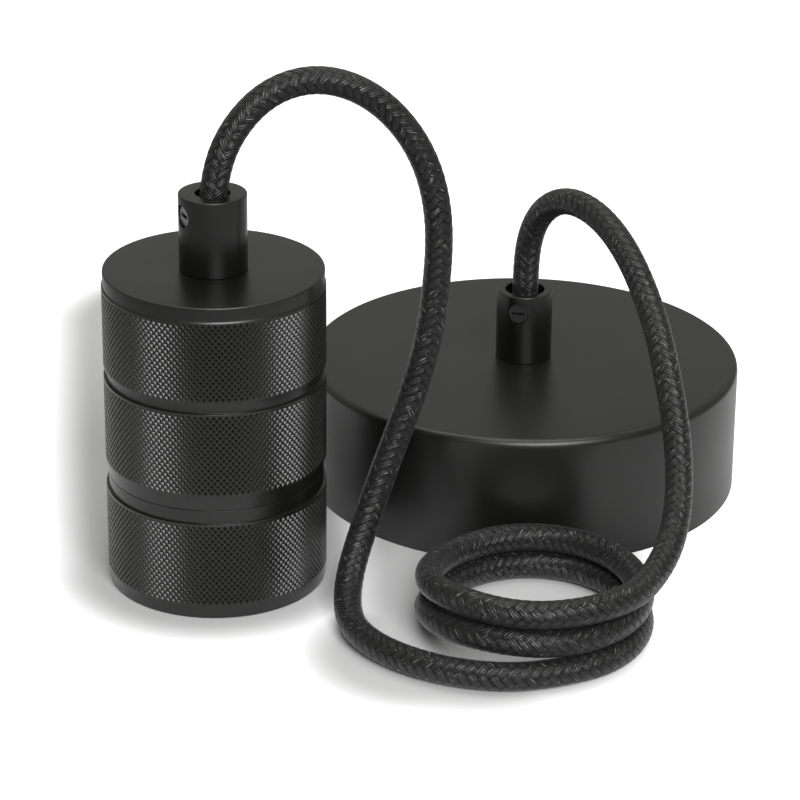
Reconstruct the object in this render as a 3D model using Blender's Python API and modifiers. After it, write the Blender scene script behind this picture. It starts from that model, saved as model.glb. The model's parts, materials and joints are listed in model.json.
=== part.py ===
"""Pendant cord set: a knurled lamp holder, a ceiling rose and the braided cord that joins them.

The holder stands on its mouth and the rose on its rim, as the set lies on a table.
Lengths are in metres, +Z is up, and the origin is on the table under the middle of the set.
"""
import math

import bmesh
import bpy
import numpy as np
from mathutils import Vector

MM = 0.001

# Clearances between pieces
SEAT_GAP = 0.3 * MM
SCREW_FIT = 0.3 * MM
BORE_FIT = 0.35 * MM
SLIDE_FIT = 0.4 * MM

# Where the two ends of the set stand
HOLDER_TO_ROSE_X = 68.8 * MM
HOLDER_TO_ROSE_Y = 54.0 * MM

# Ceiling rose
ROSE_RADIUS = 50.0 * MM
ROSE_HEIGHT = 30.0 * MM
ROSE_WALL = 1.0 * MM
ROSE_EDGE = 2.0 * MM

# Cord grips with their hollow threaded nipples
NIPPLE_RADIUS = 5.0 * MM
NIPPLE_PITCH = 1.0 * MM
ROSE_NIPPLE = 9.0 * MM
HOLDER_NIPPLE = 10.0 * MM
ROSE_GRIP_RADIUS = 6.45 * MM
ROSE_GRIP_HEIGHT = 16.5 * MM
ROSE_GRIP_MOUTH = 4.5 * MM
ROSE_GRIP_MOUTH_DEPTH = 9.0 * MM
HOLDER_GRIP_RADIUS = 7.35 * MM
HOLDER_GRIP_HEIGHT = 17.0 * MM
HOLDER_GRIP_MOUTH = 3.55 * MM
HOLDER_GRIP_MOUTH_DEPTH = 9.0 * MM
GRIP_EDGE = 0.4 * MM
GRUB_RADIUS = 2.35 * MM
ROSE_GRUB_DEPTH = 4.1 * MM
ROSE_GRUB_ANGLE = math.radians(16)
ROSE_GRUB_SINK = 0.15 * MM
HOLDER_GRUB_DEPTH = 4.2 * MM
HOLDER_GRUB_ANGLE = math.radians(61)
HOLDER_GRUB_SINK = 0.3 * MM

# Nuts and washers on the nipples
NUT_FLATS = 14.0 * MM
NUT_HEIGHT = 3.0 * MM
WASHER_RADIUS = 9.0 * MM
WASHER_THICKNESS = 0.8 * MM

# Screws
SLOT_WIDTH = 0.8 * MM
SLOT_DEPTH = 0.8 * MM
M4_RADIUS = 2.0 * MM
M4_HEAD_RADIUS = 3.4 * MM
M3_RADIUS = 1.5 * MM
M3_HEAD_RADIUS = 2.3 * MM
PAN_HEAD = 1.4 * MM
CHEESE_HEAD = 1.8 * MM

# Ceiling bracket, a folded strap across the rose
STRAP_WIDTH = 20.0 * MM
STRAP_THICKNESS = 1.5 * MM
STRAP_LIFT = 0.4 * MM
STRAP_EAR = 12.0 * MM
STRAP_FOLD = 2.5 * MM
STRAP_HOLE = 5.2 * MM
SIDE_SCREW_HEIGHT = 6.0 * MM
SIDE_SCREW_LENGTH = 7.0 * MM
CEILING_SLOT_WIDTH = 5.4 * MM
CEILING_SLOT_LENGTH = 14.0 * MM
CEILING_SLOT_AT = 32.0 * MM

# Terminal block on the bracket
BLOCK_WIDTH = 18.0 * MM
BLOCK_LENGTH = 16.0 * MM
BLOCK_HEIGHT = 12.0 * MM
BLOCK_AT = 14.5 * MM
POLE_SPACING = 9.6 * MM
POLE_HEIGHT = 5.0 * MM
SLEEVE_RADIUS = 2.5 * MM
SLEEVE_BORE = 1.5 * MM
SLEEVE_LENGTH = 13.0 * MM
TERMINAL_SCREW_RADIUS = 1.3 * MM
TERMINAL_SCREW_SPACING = 7.4 * MM
TERMINAL_SCREW_SINK = 2.0 * MM
BLOCK_CORNER = 0.8 * MM

# Earth terminal in the rose
ROSE_EARTH_AT = 16.0 * MM
LUG_THICKNESS = 0.8 * MM
LUG_RADIUS = 4.5 * MM
LUG_BARREL_RADIUS = 1.6 * MM
LUG_BARREL_BORE = 1.0 * MM
LUG_BARREL_LENGTH = 5.0 * MM

# Lamp holder shell
HOLDER_HEIGHT = 72.0 * MM
COLLAR_RADIUS = 23.85 * MM
GROOVE_RADIUS = 23.5 * MM
KNURL_ROOT = 23.75 * MM
KNURL_CREST = 24.1 * MM
RIM_HEIGHT = 3.0 * MM
LOWER_BAND_TOP = 22.2 * MM
SHELL_PARTING = 25.5 * MM
MIDDLE_BAND_BOTTOM = 29.0 * MM
MIDDLE_BAND_SHARE = 0.51
UPPER_GROOVE_HEIGHT = 2.8 * MM
COLLAR_HEIGHT = 3.3 * MM
SHELL_EDGE = 0.35 * MM
CAP_THICKNESS = 2.0 * MM
SHELL_BORE = 22.3 * MM
SPIGOT_BORE = 20.9 * MM
SPIGOT_TOP = 33.0 * MM
LIP_BORE = 18.6 * MM
LIP_THICKNESS = 1.8 * MM
KNURL_COLUMNS = 60
KNURL_ROWS = 6

# Socket insert: a ceramic body with a threaded lamp shell
SOCKET_FLOOR_THICKNESS = 6.0 * MM
SOCKET_CAVITY_DEPTH = 25.9 * MM
SCREW_SHELL_RADIUS = 13.0 * MM
SCREW_SHELL_WAVE = 0.45 * MM
SCREW_SHELL_PITCH = 3.63 * MM
SCREW_SHELL_WALL = 0.6 * MM
SCREW_SHELL_MOUTH = 4.0 * MM
SCREW_SHELL_FLANGE = 9.2 * MM
INSERT_SCREW_AT = 17.2 * MM
INSERT_SCREW_SINK = 3.0 * MM
CONTACT_WIDTH = 5.0 * MM
CONTACT_THICKNESS = 0.5 * MM
CONTACT_TRAVEL = 2.4 * MM
TERMINAL_WIDTH = 8.0 * MM
TERMINAL_DEPTH = 7.0 * MM
TERMINAL_HEIGHT = 7.0 * MM
LIVE_TERMINAL_AT = -9.0 * MM
LIVE_STEM_AT = -7.0 * MM
NEUTRAL_TERMINAL_AT = 11.0 * MM
STEM_RADIUS = 1.5 * MM
WIRE_HOLE = 1.3 * MM
WIRE_HOLE_HEIGHT = 2.4 * MM

# Bridge that hangs the socket from the nipple
BRIDGE_WIDTH = 12.0 * MM
BRIDGE_THICKNESS = 1.5 * MM
BRIDGE_FOOT = 7.0 * MM
HOLDER_EARTH_CLEARANCE = 1.0 * MM

# Cord and its three cores
CORD_RADIUS = 3.0 * MM
CORD_SPACING = 5.0 * MM
CORD_FINE_STEPS = 20
CORD_TAIL = 1.5 * MM
CORE_RADIUS = 1.05 * MM
CORE_SPREAD = 1.45 * MM
CORE_BEND = 3.4 * MM
BARE_WIRE = 0.6 * MM
COIL_RADIUS_X = 22.6 * MM
COIL_RADIUS_Y = 25.2 * MM
COIL_CENTRE_X = 21.9 * MM
COIL_CENTRE_Y = -68.0 * MM
COIL_DRIFT = 1.0 * MM
COIL_FIRST_ANGLE = -72.0
COIL_LAST_ANGLE = 640.0
COIL_POINTS = 47
COIL_CLIMBS = (195.0, 545.0)
COIL_CLIMB_SPAN = 120.0
COIL_LEVELS = (3.05 * MM, 9.15 * MM, 15.7 * MM)
COIL_TURNS = 2

# The cord's own route, by hand: from the holder's mouth down to the coil, and from the coil up to the rose.
# It was drawn for mouths at these heights, and follows them where they move.
DRAWN_HOLDER_MOUTH = 89.0 * MM
DRAWN_ROSE_MOUTH = 46.5 * MM
ROUTE_FROM_HOLDER = [
    (-47.1, -40.7, 88.5), (-44.9, -39.2, 97.9), (-41.5, -37.5, 103.6), (-35.3, -34.7, 108.9),
    (-26.0, -31.8, 111.1), (-16.4, -30.1, 108.4), (-7.8, -30.0, 101.4), (-2.6, -31.0, 93.2),
    (0.6, -33.3, 80.4), (0.4, -35.7, 67.6), (-1.4, -38.3, 54.6), (-5.1, -41.1, 41.6),
    (-10.0, -44.8, 28.3), (-15.0, -51.2, 15.1), (-17.9, -59.8, 6.8), (-17.9, -67.4, 3.7),
    (-15.2, -76.9, 3.05), (-6.7, -87.2, 3.05), (5.5, -93.7, 3.05), (19.0, -95.0, 3.05),
]
ROUTE_TO_ROSE = [
    (40.6, -83.0, 15.7), (46.2, -74.0, 15.9), (49.8, -66.6, 18.1), (52.0, -60.1, 21.7),
    (53.1, -52.5, 27.9), (52.6, -43.5, 37.3), (51.2, -36.6, 44.9), (49.5, -30.1, 51.7),
    (46.3, -21.0, 59.8), (40.4, -9.3, 68.2), (32.9, 2.1, 71.3), (28.4, 8.1, 69.6),
    (24.7, 12.2, 65.1), (22.3, 14.4, 57.6), (21.6, 13.8, 47.1),
]

# Places worked out from the sizes above
SIDE_SCREW_REACH = ROSE_RADIUS + SEAT_GAP + PAN_HEAD
ROSE_X = (HOLDER_TO_ROSE_X + KNURL_CREST - ROSE_RADIUS) / 2
ROSE_Y = (HOLDER_TO_ROSE_Y + KNURL_CREST - SIDE_SCREW_REACH) / 2
HOLDER_X = ROSE_X - HOLDER_TO_ROSE_X
HOLDER_Y = ROSE_Y - HOLDER_TO_ROSE_Y
ROSE_AT = Vector((ROSE_X, ROSE_Y, 0))
HOLDER_AT = Vector((HOLDER_X, HOLDER_Y, 0))
HOLDER_MOUTH = HOLDER_HEIGHT + HOLDER_GRIP_HEIGHT
ROSE_MOUTH = ROSE_HEIGHT + ROSE_GRIP_HEIGHT
CORD_END_IN_HOLDER = HOLDER_HEIGHT - HOLDER_NIPPLE - CORD_TAIL
CORD_END_IN_ROSE = ROSE_HEIGHT - ROSE_NIPPLE - CORD_TAIL
UPPER_BAND_TOP = HOLDER_HEIGHT - COLLAR_HEIGHT
MIDDLE_BAND_TOP = (MIDDLE_BAND_BOTTOM + MIDDLE_BAND_SHARE
                   * (UPPER_BAND_TOP - MIDDLE_BAND_BOTTOM - UPPER_GROOVE_HEIGHT))
UPPER_BAND_BOTTOM = MIDDLE_BAND_TOP + UPPER_GROOVE_HEIGHT
CORD_BORE = CORD_RADIUS + BORE_FIT
NIPPLE_HOLE = NIPPLE_RADIUS + SCREW_FIT
SOCKET_RADIUS = SPIGOT_BORE - SLIDE_FIT
SOCKET_BOTTOM = LIP_THICKNESS + SEAT_GAP
SOCKET_FLOOR = SOCKET_BOTTOM + SOCKET_CAVITY_DEPTH
SOCKET_TOP = SOCKET_FLOOR + SOCKET_FLOOR_THICKNESS
SCREW_SHELL_OUTER = SCREW_SHELL_RADIUS + SCREW_SHELL_WAVE + SCREW_SHELL_WALL / 2
SOCKET_CAVITY = SCREW_SHELL_OUTER + BORE_FIT
SCREW_SHELL_TOP = SOCKET_FLOOR - SEAT_GAP
BRIDGE_TOP = HOLDER_HEIGHT - CAP_THICKNESS - SEAT_GAP
BRIDGE_REACH = math.sqrt((SHELL_BORE - SLIDE_FIT) ** 2 - (BRIDGE_WIDTH / 2) ** 2)
BRIDGE_BOTTOM = SOCKET_TOP + SEAT_GAP
INSERT_SCREW_TOP = BRIDGE_BOTTOM + BRIDGE_THICKNESS + M3_RADIUS
HOLDER_EARTH_HEIGHT = INSERT_SCREW_TOP + LUG_RADIUS + HOLDER_EARTH_CLEARANCE
COIL_HALF_WIDTH = CORD_RADIUS + SEAT_GAP / 2
COIL_TOP = 2 * CORD_RADIUS * COIL_TURNS + SEAT_GAP / 2
COIL_MIDDLE_Y = COIL_CENTRE_Y + COIL_DRIFT * (COIL_TURNS - 1) / 2
STRAP_TOP = STRAP_LIFT + STRAP_THICKNESS
STRAP_REACH = ROSE_RADIUS - ROSE_WALL - SLIDE_FIT - STRAP_WIDTH ** 2 / (8 * ROSE_RADIUS)
BLOCK_BOTTOM = STRAP_TOP + SEAT_GAP

SEGMENTS_LARGE = 72
SEGMENTS_MEDIUM = 32
SEGMENTS_SMALL = 16


def clear_scene():
    for obj in list(bpy.data.objects):
        bpy.data.objects.remove(obj, do_unlink=True)


def new_collection(name):
    collection = bpy.data.collections.new(name)
    bpy.context.scene.collection.children.link(collection)
    return collection


def new_material(name, colour, metallic, roughness):
    """A Principled material from an sRGB hex colour."""
    material = bpy.data.materials.new(name)
    material.use_nodes = True
    shader = material.node_tree.nodes["Principled BSDF"]
    channels = [int(colour[i:i + 2], 16) / 255 for i in (0, 2, 4)]
    linear = [((c + 0.055) / 1.055) ** 2.4 if c > 0.04045 else c / 12.92 for c in channels]
    shader.inputs["Base Color"].default_value = (*linear, 1)
    shader.inputs["Metallic"].default_value = metallic
    shader.inputs["Roughness"].default_value = roughness
    material.diffuse_color = (*linear, 1)
    return material


def add_part(name, data, material, at=(0, 0, 0)):
    obj = bpy.data.objects.new(name, data)
    obj.location = at
    parts.objects.link(obj)
    data.materials.append(material)
    return obj


def add_cutter(name, data, at=(0, 0, 0)):
    obj = bpy.data.objects.new(name, data)
    obj.location = at
    obj.hide_render = True
    obj.display_type = "WIRE"
    cutters.objects.link(obj)
    return obj


def mesh_from(bm, name):
    """A mesh from a bmesh, with its normals outwards and round sides shaded smooth."""
    bmesh.ops.recalc_face_normals(bm, faces=bm.faces[:])
    mesh = bpy.data.meshes.new(name)
    bm.to_mesh(mesh)
    bm.free()
    mesh.shade_smooth()
    mesh.set_sharp_from_angle(angle=math.radians(35))
    return mesh


def box_mesh(name, size):
    bm = bmesh.new()
    bmesh.ops.create_cube(bm, size=1)
    bmesh.ops.scale(bm, vec=size, verts=bm.verts[:])
    return mesh_from(bm, name)


def rod_mesh(name, radius, length, segments=SEGMENTS_SMALL):
    """A cylinder that stands on the origin along +Z."""
    bm = bmesh.new()
    bmesh.ops.create_cone(bm, cap_ends=True, segments=segments, radius1=radius, radius2=radius, depth=length)
    bmesh.ops.translate(bm, vec=(0, 0, length / 2), verts=bm.verts[:])
    return mesh_from(bm, name)


def outline_mesh(name, outline, closed):
    mesh = bpy.data.meshes.new(name)
    edges = [(i, i + 1) for i in range(len(outline) - 1)]
    if closed:
        edges.append((len(outline) - 1, 0))
    mesh.from_pydata([(radius, 0, height) for radius, height in outline], edges, [])
    return mesh


def turn(obj, segments):
    """Turns an outline in the XZ plane about Z. The outline runs down its outer side."""
    screw = obj.modifiers.new("turn", "SCREW")
    screw.axis = "Z"
    screw.angle = math.tau
    screw.steps = segments
    screw.render_steps = segments
    screw.use_merge_vertices = True
    screw.merge_threshold = 0.00001
    screw.use_smooth_shade = True


def turned(name, outline, material, at, segments=SEGMENTS_SMALL):
    """A turned piece: a ring where the outline stays off the axis, solid where both ends lie on it."""
    on_axis = outline[0][0] == 0 and outline[-1][0] == 0
    obj = add_part(name, outline_mesh(name, outline, not on_axis), material, at)
    turn(obj, segments)
    return obj


def cut(obj, cutter):
    boolean = obj.modifiers.new("cut " + cutter.name, "BOOLEAN")
    boolean.operation = "DIFFERENCE"
    boolean.solver = "EXACT"
    boolean.object = cutter


def cut_rod(obj, name, radius, start, end, segments=SEGMENTS_SMALL):
    """Cuts a round hole from start to end, two points in the frame of the set."""
    start, end = Vector(start), Vector(end)
    cutter = add_cutter(name, rod_mesh(name, radius, (end - start).length, segments), start)
    cutter.rotation_euler = (end - start).to_track_quat("Z", "Y").to_euler()
    cut(obj, cutter)


def cut_box(obj, name, size, at):
    cut(obj, add_cutter(name, box_mesh(name, size), at))


def join_rod(obj, name, radius, start, end):
    """Joins a round stem to a piece."""
    start, end = Vector(start), Vector(end)
    helper = add_cutter(name, rod_mesh(name, radius, (end - start).length), start)
    helper.rotation_euler = (end - start).to_track_quat("Z", "Y").to_euler()
    boolean = obj.modifiers.new("join " + name, "BOOLEAN")
    boolean.operation = "UNION"
    boolean.solver = "EXACT"
    boolean.object = helper


def slotted_screw(name, shank_radius, shank_length, head_radius, head_height, material, seat, towards):
    """A screw whose head rests at seat and faces towards. With no head it is a grub screw."""
    towards = Vector(towards).normalized()
    tip = shank_radius * 0.3
    outline = [(0, head_height), (head_radius, head_height), (head_radius, 0)]
    if head_height == 0:
        outline = [(0, 0), (shank_radius, 0)]
    elif head_radius > shank_radius:
        outline.append((shank_radius, 0))
    outline += [(shank_radius, tip - shank_length), (shank_radius - tip, -shank_length), (0, -shank_length)]
    screw = turned(name, outline, material, seat, SEGMENTS_SMALL)
    screw.rotation_euler = towards.to_track_quat("Z", "Y").to_euler()
    widest = max(head_radius, shank_radius)
    slot = add_cutter(name + " slot", box_mesh(name + " slot", (2.5 * widest, SLOT_WIDTH, 2 * SLOT_DEPTH)))
    slot.parent = screw
    slot.location = (0, 0, head_height)
    cut(screw, slot)
    return screw


def folded_strip(name, path, width, thickness, material, at, across):
    """A strip of sheet metal: a path of its middle line, swept sideways and given its thickness."""
    half = Vector(across) * (width / 2)
    bm = bmesh.new()
    rows = [[bm.verts.new(Vector(point) + side) for side in (-half, half)] for point in path]
    for first, second in zip(rows, rows[1:]):
        bm.faces.new((first[0], second[0], second[1], first[1]))
    obj = add_part(name, mesh_from(bm, name), material, at)
    solidify = obj.modifiers.new("sheet", "SOLIDIFY")
    solidify.thickness = thickness
    solidify.offset = 0
    solidify.use_even_offset = True
    return obj


def fold_points(before, corner, after, radius, steps=3):
    """The corner of a path, rounded: points on the arc between two straight runs."""
    into = (Vector(before) - Vector(corner)).normalized()
    out = (Vector(after) - Vector(corner)).normalized()
    centre = Vector(corner) + (into + out) * radius
    points = []
    for i in range(steps + 1):
        angle = math.pi / 2 * i / steps
        points.append(centre - out * radius * math.cos(angle) - into * radius * math.sin(angle))
    return points


def spline_through(points, spacing):
    """A smooth curve through points: a natural cubic in chord length, read at even steps."""
    points = np.array(points, float)
    knots = np.concatenate([[0], np.cumsum(np.linalg.norm(np.diff(points, axis=0), axis=1))])
    spans = np.diff(knots)
    count = len(points)
    system, right = np.eye(count), np.zeros((count, 3))
    for i in range(1, count - 1):
        system[i, i - 1:i + 2] = spans[i - 1], 2 * (spans[i - 1] + spans[i]), spans[i]
        rise = (points[i + 1] - points[i]) / spans[i] - (points[i] - points[i - 1]) / spans[i - 1]
        right[i] = 6 * rise
    bend = np.linalg.solve(system, right)
    places = np.linspace(0, knots[-1], max(2, round(knots[-1] / spacing) + 1))
    i = np.clip(np.searchsorted(knots, places, side="right") - 1, 0, count - 2)
    u, h = (places - knots[i])[:, None], spans[i][:, None]
    slope = (points[i + 1] - points[i]) / h - h * (2 * bend[i] + bend[i + 1]) / 6
    return points[i] + u * slope + u ** 2 * bend[i] / 2 + u ** 3 * (bend[i + 1] - bend[i]) / (6 * h)


def tube(name, points, radius, material, resolution=2, end_radii=(1, 1)):
    """A round tube along points. Its last two points at each end may be thinner, as a bared wire is."""
    curve = bpy.data.curves.new(name, "CURVE")
    curve.dimensions = "3D"
    curve.bevel_depth = radius
    curve.bevel_resolution = resolution
    curve.use_fill_caps = True
    spline = curve.splines.new("POLY")
    spline.points.add(len(points) - 1)
    for target, point in zip(spline.points, points):
        target.co = (*point, 1)
    for i in (0, 1):
        spline.points[i].radius = end_radii[0]
        spline.points[-1 - i].radius = end_radii[1]
    return add_part(name, curve, material)


def knurled_shell(name, outline, bands, material):
    """A turned wall whose bands carry diamond points: alternate vertices of a band's grid stand out."""
    bm = bmesh.new()
    ring = [bm.verts.new((radius, 0, height)) for radius, height in outline]
    edges = [bm.edges.new((a, b)) for a, b in zip(ring, ring[1:] + ring[:1])]
    bmesh.ops.spin(bm, geom=ring + edges, cent=(0, 0, 0), axis=(0, 0, 1), dvec=(0, 0, 0),
                   angle=math.tau, steps=KNURL_COLUMNS, use_merge=True)
    bmesh.ops.remove_doubles(bm, verts=bm.verts[:], dist=0.00001)
    for vert in bm.verts:
        raise_diamond(vert, bands)
    for face in list(bm.faces):
        split_diamond(bm, face, bands)
    return add_part(name, mesh_from(bm, name), material, HOLDER_AT)


def raise_diamond(vert, bands):
    radius = vert.co.xy.length
    for bottom, top in bands:
        row = (vert.co.z - bottom) / (top - bottom) * KNURL_ROWS
        inside = 0.5 < row < KNURL_ROWS - 0.5
        if inside and radius > GROOVE_RADIUS:
            column = math.atan2(vert.co.y, vert.co.x) / math.tau * KNURL_COLUMNS
            if (round(row) + round(column)) % 2 == 0:
                vert.co.xy *= KNURL_CREST / radius


def split_diamond(bm, face, bands):
    """Splits a band's square between its two lower corners, which makes each raised point a pyramid."""
    middle = face.calc_center_median()
    in_band = any(bottom < middle.z < top for bottom, top in bands)
    if not in_band or middle.xy.length < (GROOVE_RADIUS + SHELL_BORE) / 2 or len(face.verts) != 4:
        return
    a, b, c, d = face.verts
    if a.co.xy.length + c.co.xy.length < b.co.xy.length + d.co.xy.length:
        bmesh.utils.face_split(face, a, c)
    else:
        bmesh.utils.face_split(face, b, d)


def band_outline(top, bottom):
    """The points down a knurled band, one for each row of the knurl."""
    return [(KNURL_ROOT, top + (bottom - top) * i / KNURL_ROWS) for i in range(KNURL_ROWS + 1)]


def build_rose_cup():
    steps = 4
    arc = []
    for i in range(steps + 1):
        angle = math.pi / 2 * i / steps
        arc.append((ROSE_RADIUS - ROSE_EDGE + ROSE_EDGE * math.sin(angle),
                    ROSE_HEIGHT - ROSE_EDGE + ROSE_EDGE * math.cos(angle)))
    inner_edge = max(ROSE_EDGE - ROSE_WALL, SEAT_GAP)
    inner_radius = ROSE_RADIUS - ROSE_WALL
    outline = [(NIPPLE_HOLE, ROSE_HEIGHT)] + arc + [
        (ROSE_RADIUS, 0),
        (inner_radius, 0),
        (inner_radius, ROSE_HEIGHT - ROSE_WALL - inner_edge),
        (inner_radius - inner_edge, ROSE_HEIGHT - ROSE_WALL),
        (NIPPLE_HOLE, ROSE_HEIGHT - ROSE_WALL),
    ]
    cup = turned("rose_cup", outline, black_steel, ROSE_AT, SEGMENTS_LARGE)
    for label, side in (("front", -1), ("back", 1)):
        wall = ROSE_AT + Vector((0, side * (ROSE_RADIUS - 2 * ROSE_WALL), SIDE_SCREW_HEIGHT))
        outside = wall + Vector((0, side * 4 * ROSE_WALL, 0))
        cut_rod(cup, "side hole " + label, M4_RADIUS + SCREW_FIT, wall, outside)


def build_grip(name, at, seat, radius, height, mouth, mouth_depth, nipple, grub_depth, grub_angle):
    """A turned cord grip: a sleeve with a clamping screw, and a hollow nipple below it."""
    top = seat + height
    outline = [
        (mouth + GRIP_EDGE, top), (radius - GRIP_EDGE, top), (radius, top - GRIP_EDGE),
        (radius, seat + SEAT_GAP), (NIPPLE_RADIUS, seat + SEAT_GAP), (NIPPLE_RADIUS, seat - nipple),
        (CORD_BORE, seat - nipple), (CORD_BORE, top - mouth_depth),
        (mouth, top - mouth_depth), (mouth, top - GRIP_EDGE),
    ]
    grip = turned(name, outline, black_aluminium, at, SEGMENTS_MEDIUM)
    towards = Vector((-math.sin(grub_angle), -math.cos(grub_angle), 0))
    axis_point = at + Vector((0, 0, top - grub_depth))
    outside = axis_point + towards * 2 * radius
    cut_rod(grip, name + " screw hole", GRUB_RADIUS + SCREW_FIT / 2, axis_point, outside)
    return axis_point, towards


def build_grub(name, axis_point, towards, grip_radius, sink, material):
    face = grip_radius - sink - GRUB_RADIUS ** 2 / (2 * grip_radius)
    length = face - CORD_RADIUS - 2 * SEAT_GAP
    slotted_screw(name, GRUB_RADIUS, length, 0, 0, material, axis_point + towards * face, towards)


def build_washer(name, at, top):
    outline = [(WASHER_RADIUS, top), (WASHER_RADIUS, top - WASHER_THICKNESS),
               (NIPPLE_HOLE, top - WASHER_THICKNESS), (NIPPLE_HOLE, top)]
    turned(name, outline, zinc_steel, at, SEGMENTS_MEDIUM)


def build_nut(name, at, top):
    corner_radius = NUT_FLATS / math.sqrt(3)
    foot = at + Vector((0, 0, top - NUT_HEIGHT))
    nut = add_part(name, rod_mesh(name, corner_radius, NUT_HEIGHT, 6), zinc_steel, foot)
    rise = Vector((0, 0, NUT_HEIGHT))
    cut_rod(nut, name + " thread", NIPPLE_HOLE, foot - rise, foot + 2 * rise, SEGMENTS_MEDIUM)


def build_bracket():
    middle = STRAP_LIFT + STRAP_THICKNESS / 2
    reach = STRAP_REACH - STRAP_THICKNESS / 2
    corners = [(0, -reach, STRAP_EAR), (0, -reach, middle), (0, reach, middle), (0, reach, STRAP_EAR)]
    path = [Vector(corners[0])]
    path += fold_points(corners[0], corners[1], corners[2], STRAP_FOLD)
    path += fold_points(corners[1], corners[2], corners[3], STRAP_FOLD)
    path.append(Vector(corners[3]))
    sheet = (STRAP_WIDTH, STRAP_THICKNESS)
    bracket = folded_strip("ceiling_bracket", path, *sheet, zinc_steel, ROSE_AT, (1, 0, 0))
    through = Vector((0, 0, 3 * STRAP_THICKNESS))
    below = ROSE_AT - Vector((0, 0, STRAP_THICKNESS))
    cut_rod(bracket, "cable hole", STRAP_HOLE, below, below + through, SEGMENTS_MEDIUM)
    for label, side in (("front", -1), ("back", 1)):
        at = ROSE_AT + Vector((0, side * CEILING_SLOT_AT, middle))
        size = (CEILING_SLOT_WIDTH, CEILING_SLOT_LENGTH, 3 * STRAP_THICKNESS)
        cut_box(bracket, "ceiling slot " + label, size, at)
        ear = ROSE_AT + Vector((0, side * (reach - 2 * STRAP_THICKNESS), SIDE_SCREW_HEIGHT))
        outward = Vector((0, side * 4 * STRAP_THICKNESS, 0))
        cut_rod(bracket, "ear thread " + label, M4_RADIUS + SCREW_FIT, ear, ear + outward)
    for label, y, radius in (("earth", -ROSE_EARTH_AT, M4_RADIUS), ("block", BLOCK_AT, M3_RADIUS)):
        start = below + Vector((0, y, 0))
        cut_rod(bracket, label + " thread", radius + SCREW_FIT, start, start + through)


def build_side_screws():
    for label, side in (("front", -1), ("back", 1)):
        seat = ROSE_AT + Vector((0, side * (ROSE_RADIUS + SEAT_GAP), SIDE_SCREW_HEIGHT))
        slotted_screw("side_screw_" + label, M4_RADIUS, SIDE_SCREW_LENGTH, M4_HEAD_RADIUS, PAN_HEAD,
                      black_screw, seat, (0, side, 0))


def build_terminal_block():
    at = ROSE_AT + Vector((0, BLOCK_AT, BLOCK_BOTTOM + BLOCK_HEIGHT / 2))
    block = add_part("terminal_block", box_mesh("terminal_block", (BLOCK_WIDTH, BLOCK_LENGTH, BLOCK_HEIGHT)),
                     white_ceramic, at)
    bevel = block.modifiers.new("moulded edge", "BEVEL")
    bevel.width = BLOCK_CORNER
    bevel.segments = 1
    pole_z = BLOCK_BOTTOM + POLE_HEIGHT
    top = BLOCK_BOTTOM + BLOCK_HEIGHT
    for label, side in (("live", -1), ("neutral", 1)):
        pole = ROSE_AT + Vector((side * POLE_SPACING / 2, BLOCK_AT, pole_z))
        along = Vector((0, BLOCK_LENGTH, 0))
        cut_rod(block, "pole " + label, SLEEVE_RADIUS + SCREW_FIT, pole - along, pole + along)
        build_sleeve(label, pole, top)
        for place, step in (("cord", -1), ("mains", 1)):
            well = pole + Vector((0, step * TERMINAL_SCREW_SPACING / 2, 0))
            above = Vector((well.x, well.y, top + SEAT_GAP))
            cut_rod(block, "well " + label + " " + place, TERMINAL_SCREW_RADIUS + 2 * SCREW_FIT, well, above)
            seat = Vector((well.x, well.y, top - TERMINAL_SCREW_SINK))
            length = seat.z - pole_z - BARE_WIRE - SEAT_GAP
            slotted_screw("terminal_screw_" + label + "_" + place, TERMINAL_SCREW_RADIUS, length, 0, 0,
                          nickel_brass, seat, (0, 0, 1))
    foot = ROSE_AT + Vector((0, BLOCK_AT, BLOCK_BOTTOM - SEAT_GAP))
    cut_rod(block, "block screw hole", M3_RADIUS + SCREW_FIT, foot, foot + Vector((0, 0, 2 * BLOCK_HEIGHT)))
    recess = foot + Vector((0, 0, BLOCK_HEIGHT / 2))
    above = recess + Vector((0, 0, BLOCK_HEIGHT))
    cut_rod(block, "block screw recess", M3_HEAD_RADIUS + SCREW_FIT, recess, above)
    seat = recess + Vector((0, 0, SEAT_GAP))
    slotted_screw("block_screw", M3_RADIUS, seat.z - STRAP_LIFT - SEAT_GAP, M3_HEAD_RADIUS, CHEESE_HEAD,
                  zinc_steel, seat, (0, 0, 1))


def build_sleeve(label, pole, block_top):
    name = "terminal_sleeve_" + label
    outline = [(SLEEVE_RADIUS, SLEEVE_LENGTH / 2), (SLEEVE_RADIUS, -SLEEVE_LENGTH / 2),
               (SLEEVE_BORE, -SLEEVE_LENGTH / 2), (SLEEVE_BORE, SLEEVE_LENGTH / 2)]
    sleeve = turned(name, outline, nickel_brass, pole, SEGMENTS_SMALL)
    sleeve.rotation_euler = (math.radians(90), 0, 0)
    for step in (-1, 1):
        well = pole + Vector((0, step * TERMINAL_SCREW_SPACING / 2, 0))
        above = Vector((well.x, well.y, block_top))
        cut_rod(sleeve, name + " thread " + str(step), TERMINAL_SCREW_RADIUS + SCREW_FIT, well, above)


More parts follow.
